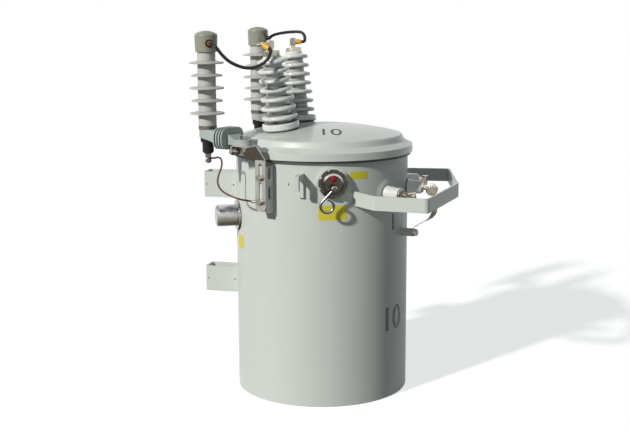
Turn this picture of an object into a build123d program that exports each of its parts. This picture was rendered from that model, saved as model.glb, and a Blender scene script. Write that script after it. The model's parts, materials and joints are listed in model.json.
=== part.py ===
"""Pole mounted distribution transformer with two high voltage bushings and two surge arresters.

Millimetres, +Z up. The origin is the centre of the tank's lower rim. +Y points to the pole
(the hanger side), -Y to the low voltage bushings, and the arresters stand on the -X and +X sides.
Bearings are degrees about +Z, counted from +X towards +Y.
"""
from build123d import *
from math import asin, atan2, cos, degrees, hypot, radians, sin, sqrt, tan
import os

# ---------------------------------------------------------------- tank and cover
TANK_RADIUS = 250.0
TANK_WALL = 3.0
TANK_HEIGHT = 706.0
WELD_DEPTH = 12.0          # how far a welded part is drawn into the wall before it is trimmed
RIM_REACH = 5.0            # outward flange at the tank's mouth
RIM_THICKNESS = 3.0
BOTTOM_RECESS = 14.0       # height of the bottom plate above the lower rim
BOTTOM_THICKNESS = 4.0

COVER_THICKNESS = 3.0
SKIRT_RADIUS = TANK_RADIUS + 13.5
SKIRT_BOTTOM_Z = TANK_HEIGHT - 9.0
SKIRT_TOP_Z = TANK_HEIGHT + 11.0
SKIRT_ROUND = 4.5
RISER_FOOT_RADIUS = TANK_RADIUS - 10.0
RISER_FOOT_Z = TANK_HEIGHT + 23.0
RISER_FOOT_ROUND = 6.0
DISC_RADIUS = TANK_RADIUS - 18.0
DISC_Z = TANK_HEIGHT + 40.0
DISC_ROUND = 8.0
DOME_RISE = 28.0
GASKET_LAP = 7.0           # how far the cover gasket hangs below the skirt
GASKET_REACH = 8.5         # how far it stands off the tank wall
GASKET_OVER_RIM = 2.0      # its shoulder above the rim

# ---------------------------------------------------------------- high voltage bushings
HV_X = 95.6
HV_Y = 94.4
HV_GASKET_RADIUS = 45.0
HV_GASKET_THICKNESS = 1.5
HV_BASE_RADIUS = 52.5
HV_BASE_HEIGHT = 20.0
HV_BASE_ROUND = 5.0
HV_SHEDS = 7
HV_TOP_SHED = 195.0        # along the bushing's axis from the cover
HV_SHED_PITCH = 26.3
HV_TOP_SHED_RADIUS = 42.0
HV_LOW_SHED_RADIUS = 51.0
HV_TOP_CORE_RADIUS = 26.5
HV_LOW_CORE_RADIUS = 31.0
HV_SHED_TIP = 6.0          # half the thickness of a shed's rim
HV_SHED_SLOPE = 3.5        # rise of a shed's top from the rim to the core
HV_TOP_LENGTH = 211.0
HV_HEAD_RADIUS = 24.0
HV_COLLAR_RADIUS = 21.0
HV_COLLAR_HEIGHT = 12.0
HV_JAW_SPAN = 46.0         # across the two jaws of the collar
HV_JAW_WIDTH = 13.0
HV_JAW_HEIGHT = 17.0
HV_STUD_RADIUS = 6.4
HV_STUD_LENGTH = 6.0
HV_EYE_WIDTH = 17.0
HV_EYE_DEPTH = 16.0
HV_EYE_HEIGHT = 24.0
HV_EYE_ROUND = 5.0
HV_BOLT_RADIUS = 4.0
HV_BOLT_LENGTH = {"left": 42.0, "right": 12.0}
HV_BOLT_BEARING = {"left": 135.0, "right": 280.0}
HV_NUT_ACROSS = 14.0
HV_NUT_HEIGHT = 5.0
LUG_PLACE = {"left": 24.0, "right": 11.5}    # the lug's palm, along the clamping bolt
LUG_PALM_RADIUS = 8.0
LUG_PALM_THICKNESS = 3.0
BOOT_LENGTH = {"left": 24.0, "right": 14.5}
BOOT_WIDE_RADIUS = {"left": 8.2, "right": 7.5}
BOOT_NARROW_RADIUS = {"left": 7.2, "right": 4.8}
BOOT_WAY = {"left": (-0.27, -0.87, -0.41), "right": (0.174, -0.985, 0.0)}
JUMPER_STRAIGHT = {"left": 6.0, "right": 9.0}   # of a jumper before its boot

# ---------------------------------------------------------------- surge arresters and their brackets
BRACKET_BEARING = 158.6    # of the left bracket, the right one is its mirror image
ARM_STANDOFF = TANK_RADIUS + 70.5            # insulating arm's centre line, from the tank axis
ARM_REACH = 158.0          # arrester axis, from the bracket's centre plane
ARRESTER_SEAT_Z = TANK_HEIGHT + 71.0
ARRESTER_RING_HEIGHT = 10.0
ARRESTER_RING_RADIUS = 25.4
ARRESTER_CORE_RADIUS = 25.0
ARRESTER_SHEDS = 5
ARRESTER_FIRST_SHED = 43.6                   # above the arrester's seat
ARRESTER_SHED_PITCH = 34.43
ARRESTER_BIG_SHED = 48.0
ARRESTER_SMALL_SHED = 43.5
ARRESTER_SHED_TIP = 2.2
ARRESTER_SHED_SLOPE = 3.5
ARRESTER_CAP_Z = ARRESTER_SEAT_Z + 211.0
ARRESTER_CAP_TOP = ARRESTER_CAP_Z + 57.0
ARRESTER_CAP_RADIUS = 30.0
ARRESTER_CAP_TOP_RADIUS = 31.5
CAP_CORNER_DROP = 10.0                       # of the cap's shoulder below its top
CAP_ROUND = 6.0
GLAND_RADIUS = {"left": 11.0, "right": 7.5}
CAP_ENTRY_BEARING = {"left": 215.7, "right": 268.0}
BLIND_ENTRY_BEARING = 217.0
CAP_ENTRY_Z = ARRESTER_CAP_Z + 23.0
CAP_ENTRY_RADIUS = 11.0
CAP_ENTRY_RISE = 1.2                         # how far its ring stands off the cap

TONGUE_THICKNESS = 20.0    # of the arm under the arrester
TONGUE_RADIUS = 23.5
TONGUE_DROP = 37.0         # depth of the arm at its first skirt
SKIRT_START = 57.0         # first skirt of the insulating arm, from the arrester axis
ARM_SKIRTS = 3
ARM_SKIRT_PITCH = 9.2
ARM_SKIRT_THICKNESS = 4.2
ARM_SKIRT_WIDTH = 94.0
ARM_SKIRT_HEIGHT = 58.0
ARM_SKIRT_ROUND = 24.0
ARM_CORE_WIDTH = 66.0
ARM_CORE_HEIGHT = 40.0
ARM_CORE_ROUND = 12.0
ARM_END_PLATE = 4.0
ARM_CENTRE_Z = ARRESTER_SEAT_Z - 20.0
CLAMP_X = 128.0            # clamping bolt, from the arrester axis
CLAMP_RADIUS = 24.0
CLAMP_TOP_Z = ARRESTER_SEAT_Z - 20.5
CLAMP_THICKNESS = 14.5
CLAMP_GUSSET = 14.0
CLAMP_GUSSET_RUN = 26.0

DISCONNECTOR_HEAD_RADIUS = 20.5
DISCONNECTOR_HEAD_HEIGHT = 14.0
DISCONNECTOR_RADIUS = 15.7
DISCONNECTOR_LENGTH = 48.0
DISCONNECTOR_ROUND = 5.0
GROUND_STUD_ACROSS = 15.5
GROUND_STUD_LENGTH = 27.0
GROUND_NUT_HEIGHT = 10.0
GROUND_LOWER_NUT = 6.0
GROUND_WASHER = 1.5
GROUND_WASHER_RADIUS = 8.5
GROUND_STUD_RADIUS = 4.0

PLATE_THICKNESS = 4.0      # of the metal bracket
STRAP_WIDTH = 35.0
STRAP_ROUND = 9.0
STRAP_TOP_Z = CLAMP_TOP_Z - CLAMP_THICKNESS - 44.0
STRAP_BOTTOM_Z = STRAP_TOP_Z - 139.0
STRAP_STANDOFF = TANK_RADIUS + 40.0          # outer face, from the tank axis
SLOT_WIDTH = 11.0
STRAP_SLOTS = ((17.0, 78.0), (84.0, 130.0))  # above the strap's lower end
FLANGE_INNER = STRAP_STANDOFF + 15.0
FLANGE_OUTER = STRAP_STANDOFF + 56.0
FLANGE_LEFT = 57.0         # towards the arrester, from the strap's centre plane
FLANGE_RIGHT = 2.0
FLANGE_ROUND = 6.0
WEB_LEFT = 50.0
TAB_INNER = STRAP_STANDOFF + 16.0
TAB_ROUND = 8.0
TAB_DROP = 29.0            # below the clamp's underside
TAB_BOLT_DROP = 15.5
TAB_BOLT_SHIFT = 8.0       # outwards from the tab's middle
TAB_BOLT_SHIFT = 4.0       # outwards from the tab's middle
TAB_WASHER = 4.0
TAB_WASHER_RADIUS = 9.0
TAB_KNOB_RADIUS = 8.5
TAB_KNOB_LENGTH = 7.0
TAB_NUT_TAIL = 4.0
PAD_BOTTOM_DROP = 8.0      # of the pad below the strap's lower end
PAD_HEIGHT = 130.0
PAD_WIDTH = 29.0
PAD_LEG_SLOTS = (55.0, 111.0)                # above the pad's lower end
PAD_LEG_SLOT_LENGTH = 36.0
PAD_LEG_SLOT_WIDTH = 10.0
BRACKET_BOLTS = (24.0, 90.5)                 # above the strap's lower end
BOLT_RADIUS = 5.0
BOLT_FIT = 0.5
BOLT_ACROSS = 17.0
BOLT_HEAD = 8.0
WASHER_RADIUS = 11.0
WASHER_THICKNESS = 2.0
STRAP_BOLT_TAIL = 12.0
CLAMP_BOLT_TAIL = 16.0

# ---------------------------------------------------------------- leads
JUMPER_DIAMETER = 7.5
GROUND_WIRE_DIAMETER = 5.0
SLEEVE_RADIUS = 6.5
SLEEVE_LENGTH = 9.0
JUMPER_ROUTE = {
    "left": [(-281, 228.4, 1010.3), (-285, 218.1, 999.9), (-281, 205.2, 981.3), (-271, 189.4, 963.6),
             (-257, 169.6, 951.3), (-240, 149.1, 944.1), (-219, 130.1, 945.6), (-192, 117.4, 954.6),
             (-186, 115, 957), (-172, 112.4, 962.6), (-162, 110.1, 969), (-155, 108.8, 976),
             (-150, 108, 982.5)],
    "right": [(235, 216.6, 1019), (222, 187, 1025.6), (200, 152, 1030.2), (175, 119.9, 1031.8),
              (155, 100.4, 1030.9), (138, 87.6, 1024.3), (130, 83, 1013)],
}
GROUND_ROUTE = [(-233.7, 268, 695.0), (-236.3, 249, 695.0), (-241, 235, 700), (-246, 224, 695), (-250, 221, 679),
                (-254, 226, 662), (-260, 231, 645), (-266, 230, 629), (-271, 220, 613),
                (-275, 201, 602), (-280, 178, 595), (-283, 158, 590)]
GROUND_LUG_RADIUS = 9.0
GROUND_LUG_THICKNESS = 1.5
GROUND_LUG_REACH = 13.0    # from the bolt to the lug's barrel
GROUND_LUG_BARREL = 12.0
GROUND_LUG_BARREL_RADIUS = 4.0
GROUND_LUG_WAY = (0.9, 0.12, 0.42)           # towards the arrester, up, outwards

# ---------------------------------------------------------------- tap changer cover
TAP_BEARING = 118.0
TAP_Z = TANK_HEIGHT - 190.0
TAP_FLANGE_RADIUS = 44.0
TAP_FLANGE_THICKNESS = 3.0
TAP_CUP_RADIUS = 31.0
TAP_CUP_LENGTH = 64.0
TAP_CUP_ROUND = 5.0
TAP_SEAT_RADIUS = 36.0
TAP_SEAT_LENGTH = 2.0

# ---------------------------------------------------------------- secondary breaker
BREAKER_BEARING = 200.5
BREAKER_Z = TANK_HEIGHT - 69.0
BREAKER_BOSS_RADIUS = 44.0
BREAKER_BOSS_LENGTH = 9.0
COLLAR_RADIUS = 39.5
COLLAR_THICKNESS = 8.0
COLLAR_NOTCHES = 8
COLLAR_NOTCH_WIDTH = 7.0
COLLAR_NOTCH_DEPTH = 4.0
FACE_RADIUS = 29.0
FACE_LENGTH = 9.0
FACE_ROUND = 5.0
LAMP_RADIUS = 9.5
LAMP_HEIGHT = 10.2
LAMP_RISE = 15.0           # lamp centre above the breaker's centre
SHAFT_DROP = 10.0          # handle shaft below the breaker's centre
SHAFT_RADIUS = 6.0
SHAFT_CLEARANCE = 0.3
SHAFT_SEAT = 3.0           # depth of solid left behind the shaft's end
HUB_RADIUS = 9.0
HUB_LENGTH = 20.0
HUB_ROUND = 3.0
HANDLE_GAP = 6.0           # from the face to the hub
HANDLE_ROD = 7.8
HANDLE_EYE_RADIUS = 17.8
HANDLE_EYE_X = 19.0        # towards the arrester side, when at rest
HANDLE_EYE_DROP = 46.0     # of the eye's centre below the shaft
HANDLE_EYE_TURN = 310.0    # degrees of the eye's bend

# ---------------------------------------------------------------- lifting lugs and hangers
LUG_SHIFT = -6.0           # along Y, from the tank's centre plane
LUG_WIDTH = 13.5
LUG_TOP_Z = TANK_HEIGHT - 43.0
LUG_FOOT_DROP = 66.0       # from the lug's top to its foot's lower end
LUG_TIP_DROP = 41.0        # from the lug's top to its tip
LUG_REACH = 57.0
LUG_FOOT_PLATE = 8.0
LUG_TIP_PLATE = 11.0
LUG_ARM = 15.0             # depth of the arm over the throat
LUG_ROUND = 13.0
LUG_THROAT_ROUND = 8.0
HANGER_Z = (301.0, 588.0)
HANGER_HEIGHT = 76.0
HANGER_WIDTH = 58.0
HANGER_REACH = TANK_RADIUS + 105.0           # pole face, from the tank axis
HANGER_PLATE = 5.0
HANGER_SLOT_WIDTH = 22.0
HANGER_SLOT_LENGTH = 44.0
JIG_HOLE_RADIUS = 2.5
JIG_HOLE_Y = (TANK_RADIUS + 12.0, HANGER_REACH - 10.0)

# ---------------------------------------------------------------- low voltage side
LV_NUMBERS = (1, 2, 3)
LV_SPREAD = 118.9          # sideways, from the middle bushing to each outer one, at the wall
LV_Z = TANK_HEIGHT - 109.0
LV_BOSS_RADIUS = 24.0
LV_BOSS_TOP_RADIUS = 19.5
LV_BOSS_FOOT = 2.0         # straight part of the boss at the wall
LV_BOSS_LENGTH = 14.0
LV_GASKET_RADIUS = 17.5
LV_GASKET_THICKNESS = 2.5
LV_BODY_RADIUS = 18.7
LV_BODY_LENGTH = 41.0
LV_CHAMFER = 5.0
LV_COLLAR_ACROSS = 23.0
LV_COLLAR_LENGTH = 7.0
LV_STUD_RADIUS = 6.5
LV_STUD_LENGTH = 20.0
LV_NUT_LENGTH = 9.0
LV_TIP_LENGTH = 13.0
LV_EYE_RADIUS = 13.5
LV_EYE_WIDTH = 15.0
LV_EYE_HOLE = 6.5
LV_CLAMP_RADIUS = 8.0
LV_CLAMP_HEIGHT = 28.0
LV_CLAMP_JAW = 12.0

GUARD_TOP_Z = TANK_HEIGHT - 94.0
GUARD_HEIGHT = 39.0
GUARD_THICKNESS = 6.0
GUARD_BEND = 9.0
GUARD_ROOT = (TANK_RADIUS - 50.0, -135.0)
GUARD_SIDE = (TANK_RADIUS + 23.0, -211.5)
GUARD_CORNER = (TANK_RADIUS + 36.0, -TANK_RADIUS - 95.0)
GUARD_NOSE_Y = -TANK_RADIUS - 148.0
GUARD_SKEW = 12.0          # the bar sits a little askew: one corner nearer the tank than the other

GROUND_BOSS_BEARING = 262.0
GROUND_BOSS_Z = TANK_HEIGHT - 241.5
GROUND_BOSS_RADIUS = 11.5
GROUND_BOSS_LENGTH = 33.0
GROUND_NUT_ACROSS = 17.0
GROUND_NUT_LENGTH = 8.0
GROUND_STRAP_WIDTH = 16.0
GROUND_STRAP_THICKNESS = 2.0
GROUND_STRAP_TAIL = 12.0
GROUND_STRAP_STRAIGHT = 20.0
GROUND_STRAP_BOW = 34.0    # how far the strap leans out on its way up
GROUND_STRAP_BENDS = (14.0, 26.0, 26.0)

os.makedirs("parts", exist_ok=True)
TALL = 4.0 * TANK_HEIGHT   # longer than anything it cuts


# ---------------------------------------------------------------- helpers
def save(node, shape):
    """Write one node's STEP file."""
    export_step(shape, f"parts/{node}.step")


def bearing_plane(bearing, radius, z):
    """Plane on the tank's side: local Z points outwards, local Y up."""
    out = (cos(radians(bearing)), sin(radians(bearing)), 0)
    side = (-sin(radians(bearing)), cos(radians(bearing)), 0)
    return Plane(origin=(radius * out[0], radius * out[1], z), x_dir=side, z_dir=out)


def revolved(points, plane=Plane.XZ):
    """Solid of revolution about the plane's Y axis, from a closed outline of (radius, height)."""
    outline = make_face(Polyline(*points, close=True))
    return revolve(plane * outline, Axis(plane.origin, plane.y_dir))


def tower(points, base):
    """Turned solid that stands on a base plane, from (radius, height) points on its outside."""
    outline = make_face(Polyline((0, points[0][1]), *points, (0, points[-1][1]), close=True))
    profile_plane = Plane(origin=base.origin, x_dir=base.x_dir, z_dir=-base.y_dir)
    return revolve(profile_plane * outline, Axis(base.origin, base.z_dir))


def disc(plane, radius, start, end):
    """Cylinder along a plane's normal, from one distance to another."""
    return plane * Pos(0, 0, start) * Cylinder(radius, end - start,
                                               align=(Align.CENTER, Align.CENTER, Align.MIN))


def hexagon(plane, across, start, end, turn=0.0):
    """Hexagonal prism along a plane's normal."""
    sketch = plane.offset(start) * Rot(0, 0, turn) * RegularPolygon(across / sqrt(3), 6)
    return extrude(sketch, end - start, dir=plane.z_dir)


def tank_body(radius=TANK_RADIUS):
    """The tank's outer cylinder, made tall enough to trim what is welded to it."""
    return Cylinder(radius, TALL)


def mirrored(shape):
    """The same piece on the +X side."""
    return mirror(shape, about=Plane.YZ)


def tube(route, diameter):
    """Round lead along straight runs joined by the largest tangent arcs that fit."""
    points = [Vector(p) for p in route]
    radii = []
    for before, here, after in zip(points, points[1:], points[2:]):
        turn = radians((here - before).get_angle(after - here))
        run = min((here - before).length, (after - here).length)
        radii.append(0.45 * run / tan(turn / 2))
    path = FilletPolyline(*points, radius=radii)
    start = Plane(origin=points[0], z_dir=points[1] - points[0])
    return sweep(start * Circle(diameter / 2), path=path)


# ---------------------------------------------------------------- tank, cover, gasket
DOME_RADIUS = (DISC_RADIUS ** 2 + DOME_RISE ** 2) / (2 * DOME_RISE)
DOME_CENTRE_Z = DISC_Z + DOME_RISE - DOME_RADIUS


def tank_wall():
    inner = TANK_RADIUS - TANK_WALL
    rim = TANK_RADIUS + RIM_REACH
    return revolved([(inner, 0), (TANK_RADIUS, 0), (TANK_RADIUS, TANK_HEIGHT - RIM_THICKNESS),
                     (rim, TANK_HEIGHT - RIM_THICKNESS), (rim, TANK_HEIGHT), (inner, TANK_HEIGHT)])


def tank_bottom():
    edge = TANK_RADIUS - TANK_WALL
    return Pos(0, 0, BOTTOM_RECESS) * Cylinder(edge, BOTTOM_THICKNESS, align=(Align.CENTER, Align.CENTER, Align.MIN))


def dome_height(radius, thickness=0.0):
    """Height of the dome's surface, or of its underside."""
    return DOME_CENTRE_Z + sqrt((DOME_RADIUS - thickness) ** 2 - radius ** 2)


def ledge_height(radius, thickness=0.0):
    """Height of the sloping ledge round the raised disc, or of its underside."""
    slope = (RISER_FOOT_Z - SKIRT_TOP_Z) / (SKIRT_RADIUS - RISER_FOOT_RADIUS)
    return SKIRT_TOP_Z + slope * (SKIRT_RADIUS - radius) - thickness * sqrt(1 + slope ** 2)


def tank_cover():
    """Pressed cover: skirt, sloping ledge and raised domed disc, all of one thickness."""
    t = COVER_THICKNESS
    mid = DISC_RADIUS / 2
    top = DISC_Z + DOME_RISE
    foot_in = RISER_FOOT_RADIUS - t
    disc_in = DISC_RADIUS - t
    skirt_in = SKIRT_RADIUS - t
    with BuildSketch(Plane.XZ) as outline:
        with BuildLine():
            ThreePointArc((0, top), (mid, dome_height(mid)), (DISC_RADIUS, DISC_Z))
            Polyline((DISC_RADIUS, DISC_Z), (RISER_FOOT_RADIUS, RISER_FOOT_Z), (SKIRT_RADIUS, SKIRT_TOP_Z),
                     (SKIRT_RADIUS, SKIRT_BOTTOM_Z), (skirt_in, SKIRT_BOTTOM_Z),
                     (skirt_in, ledge_height(skirt_in, t)), (foot_in, ledge_height(foot_in, t)),
                     (disc_in, dome_height(disc_in, t)))
            ThreePointArc((disc_in, dome_height(disc_in, t)), (mid, dome_height(mid, t)), (0, top - t))
            Line((0, top - t), (0, top))
        make_face()
        for radius, rounding in ((DISC_RADIUS, DISC_ROUND), (RISER_FOOT_RADIUS, RISER_FOOT_ROUND)):
            fillet([v for v in outline.vertices() if abs(v.X - radius) < 0.01], rounding)
        corner = [v for v in outline.vertices()
                  if abs(v.X - SKIRT_RADIUS) < 0.01 and abs(v.Z - SKIRT_TOP_Z) < 0.01]
        fillet(corner, SKIRT_ROUND)
    return revolve(outline.sketch, Axis.Z)


def cover_gasket():
    """Rubber channel over the tank's rim, which also closes the gap inside the skirt."""
    inner = TANK_RADIUS - TANK_WALL
    rim = TANK_RADIUS + RIM_REACH
    lap = TANK_RADIUS + GASKET_REACH
    shoulder = TANK_HEIGHT + GASKET_OVER_RIM
    low = SKIRT_BOTTOM_Z - GASKET_LAP
    under_rim = TANK_HEIGHT - RIM_THICKNESS
    return revolved([(TANK_RADIUS, low), (lap, low), (lap, shoulder), (rim, ledge_height(rim, COVER_THICKNESS)),
                     (inner, ledge_height(inner, COVER_THICKNESS)), (inner, TANK_HEIGHT),
                     (rim, TANK_HEIGHT), (rim, under_rim), (TANK_RADIUS, under_rim)])


# ---------------------------------------------------------------- high voltage bushings
def hv_plane(side):
    """Base plane of a bushing, square to the dome."""
    x = -HV_X if side == "left" else HV_X
    foot = Vector(x, HV_Y, dome_height(hypot(HV_X, HV_Y)))
    normal = foot - Vector(0, 0, DOME_CENTRE_Z)
    return Plane(origin=foot, x_dir=(1, 0, -normal.X / normal.Z), z_dir=normal)


def hv_gasket(side):
    plane = hv_plane(side)
    ring = disc(plane, HV_GASKET_RADIUS, -HV_GASKET_THICKNESS, HV_GASKET_THICKNESS)
    return ring - Pos(0, 0, DOME_CENTRE_Z) * Sphere(DOME_RADIUS)


def hv_core_radius(height):
    low = HV_TOP_SHED - (HV_SHEDS - 1) * HV_SHED_PITCH
    share = (height - low) / (HV_TOP_SHED - low)
    return HV_LOW_CORE_RADIUS + share * (HV_TOP_CORE_RADIUS - HV_LOW_CORE_RADIUS)


def hv_bushing(side):
    """Glazed porcelain: a tall base flange, then thick rounded sheds that grow towards the cover."""
    tip = HV_SHED_TIP
    seat = HV_GASKET_THICKNESS
    top_of_base = seat + HV_BASE_HEIGHT
    flat = HV_BASE_RADIUS - HV_BASE_ROUND
    bulge = HV_BASE_ROUND * (1 - sqrt(0.5))
    neck = hv_core_radius(top_of_base)
    with BuildSketch() as outline:
        with BuildLine():
            Polyline((0, seat), (flat + bulge, seat), (HV_BASE_RADIUS, seat + HV_BASE_ROUND - bulge),
                     (HV_BASE_RADIUS, top_of_base - HV_BASE_ROUND))
            ThreePointArc((HV_BASE_RADIUS, top_of_base - HV_BASE_ROUND),
                          (HV_BASE_RADIUS - bulge, top_of_base - bulge), (flat, top_of_base))
            here = (neck, top_of_base + HV_SHED_SLOPE / 2)
            Line((flat, top_of_base), here)
            for step in range(HV_SHEDS - 1, -1, -1):
                z = HV_TOP_SHED - step * HV_SHED_PITCH
                share = step / (HV_SHEDS - 1)
                rim = HV_TOP_SHED_RADIUS + share * (HV_LOW_SHED_RADIUS - HV_TOP_SHED_RADIUS)
                core = hv_core_radius(z)
                Polyline(here, (core, z - tip + HV_SHED_SLOPE / 3), (rim - tip, z - tip))
                ThreePointArc((rim - tip, z - tip), (rim, z), (rim - tip, z + tip))
                here = (core, z + tip + HV_SHED_SLOPE)
                Line((rim - tip, z + tip), here)
            Polyline(here, (HV_HEAD_RADIUS, HV_TOP_LENGTH), (0, HV_TOP_LENGTH), (0, seat))
        make_face()
    plane = hv_plane(side)
    profile_plane = Plane(origin=plane.origin, x_dir=plane.x_dir, z_dir=-plane.y_dir)
    return revolve(profile_plane * outline.sketch, Axis(plane.origin, plane.z_dir))


def hv_eye_height():
    """Height of the eye's middle along the bushing's axis."""
    return HV_TOP_LENGTH + HV_COLLAR_HEIGHT + HV_STUD_LENGTH + HV_EYE_HEIGHT / 2


def hv_bolt_plane(side):
    """Plane of the clamping bolt: it starts on the bushing's axis and points sideways."""
    centre = hv_plane(side).from_local_coords((0, 0, hv_eye_height()))
    bearing = radians(HV_BOLT_BEARING[side])
    return Plane(origin=centre, x_dir=(-sin(bearing), cos(bearing), 0), z_dir=(cos(bearing), sin(bearing), 0))


def hv_terminal(side):
    """Bronze collar with two jaws, stud and eye block, with the bolt and nuts that hold the lead's lug."""
    plane = hv_plane(side)
    collar_top = HV_TOP_LENGTH + HV_COLLAR_HEIGHT
    body = disc(plane, HV_COLLAR_RADIUS, HV_TOP_LENGTH, collar_top)
    jaw = plane * Pos(0, 0, HV_TOP_LENGTH) * Box(HV_JAW_WIDTH, HV_JAW_SPAN, HV_COLLAR_HEIGHT,
                                                 align=(Align.CENTER, Align.CENTER, Align.MIN))
    body += jaw
    body += disc(plane, HV_STUD_RADIUS, collar_top, hv_eye_height())
    bolt = hv_bolt_plane(side)
    block = Plane(origin=bolt.origin, x_dir=bolt.z_dir, z_dir=bolt.x_dir)
    body += extrude(block * RectangleRounded(HV_EYE_WIDTH, HV_EYE_HEIGHT, HV_EYE_ROUND), HV_EYE_DEPTH / 2, both=True)
    body += disc(bolt, HV_BOLT_RADIUS, 0, HV_BOLT_LENGTH[side])
    palm = LUG_PLACE[side] - LUG_PALM_THICKNESS / 2
    body += hexagon(bolt, HV_NUT_ACROSS, palm - HV_NUT_HEIGHT, palm)
    if side == "left":
        outside = palm + LUG_PALM_THICKNESS
        body += hexagon(bolt, HV_NUT_ACROSS, outside, outside + HV_NUT_HEIGHT)
    return body


# ---------------------------------------------------------------- surge arresters (left side)
def arm_plane():
    """Horizontal plane at the arrester's axis: local X runs along the arm, away from the arrester."""
    bearing = bearing_plane(BRACKET_BEARING, 0, 0)
    centre = bearing.from_local_coords((-ARM_REACH, 0, ARM_STANDOFF))
    return Plane(origin=centre, x_dir=bearing.x_dir, z_dir=(0, 0, 1))


def at_arrester(z):
    plane = arm_plane()
    return Plane(origin=plane.origin + Vector(0, 0, z), x_dir=plane.x_dir, z_dir=(0, 0, 1))


def cap_plane(side, bearing, z):
    """Plane on the side of an arrester's cap, square to its wall."""
    axis = at_arrester(z).origin
    x = axis.X if side == "left" else -axis.X
    share = (z - ARRESTER_CAP_Z) / (ARRESTER_CAP_TOP - CAP_CORNER_DROP - ARRESTER_CAP_Z)
    radius = ARRESTER_CAP_RADIUS + share * (ARRESTER_CAP_TOP_RADIUS - ARRESTER_CAP_RADIUS)
    out = Vector(cos(radians(bearing)), sin(radians(bearing)), 0)
    return Plane(origin=Vector(x, axis.Y, z) + out * radius, x_dir=(-out.Y, out.X, 0), z_dir=out)


def arrester_cap(side):
    """Moulded cap that widens upwards into a domed top; the right one keeps a blind entry's ring."""
    rise = ARRESTER_CAP_TOP - ARRESTER_CAP_Z
    corner = rise - CAP_CORNER_DROP
    dome = (ARRESTER_CAP_TOP_RADIUS ** 2 + CAP_CORNER_DROP ** 2) / (2 * CAP_CORNER_DROP)
    mid = ARRESTER_CAP_TOP_RADIUS / 2
    with BuildSketch(Plane.XZ) as outline:
        with BuildLine():
            Polyline((0, rise), (0, 0), (ARRESTER_CAP_RADIUS, 0), (ARRESTER_CAP_TOP_RADIUS, corner))
            ThreePointArc((ARRESTER_CAP_TOP_RADIUS, corner), (mid, rise - dome + sqrt(dome ** 2 - mid ** 2)), (0, rise))
        make_face()
        fillet([v for v in outline.vertices() if abs(v.X - ARRESTER_CAP_TOP_RADIUS) < 0.01], CAP_ROUND)
    place = at_arrester(ARRESTER_CAP_Z).origin
    body = revolve(outline.sketch, Axis.Z).translate(place)
    if side == "left":
        return body
    body = mirrored(body)
    ring = disc(cap_plane(side, BLIND_ENTRY_BEARING, CAP_ENTRY_Z), CAP_ENTRY_RADIUS, -CAP_ENTRY_RADIUS, CAP_ENTRY_RISE)
    return body + ring


def arrester_housing():
    """Polymer weather sheds, wide and narrow in turn."""
    base = ARRESTER_SEAT_Z + ARRESTER_RING_HEIGHT
    core = ARRESTER_CORE_RADIUS
    tip = ARRESTER_SHED_TIP
    points = [(core, base)]
    for index in range(ARRESTER_SHEDS):
        z = ARRESTER_SEAT_Z + ARRESTER_FIRST_SHED + index * ARRESTER_SHED_PITCH
        rim = ARRESTER_BIG_SHED if index % 2 == 0 else ARRESTER_SMALL_SHED
        points += [(core, z - tip), (rim - tip / 2, z - tip), (rim, z), (rim - tip, z + tip),
                   (core, z + tip + ARRESTER_SHED_SLOPE)]
    points.append((core, ARRESTER_CAP_Z))
    return tower([(r, z - base) for r, z in points], at_arrester(base))


def arrester_ring():
    return disc(at_arrester(ARRESTER_SEAT_Z), ARRESTER_RING_RADIUS, 0, ARRESTER_RING_HEIGHT)


def skirt_x(index):
    return SKIRT_START + index * ARM_SKIRT_PITCH


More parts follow.
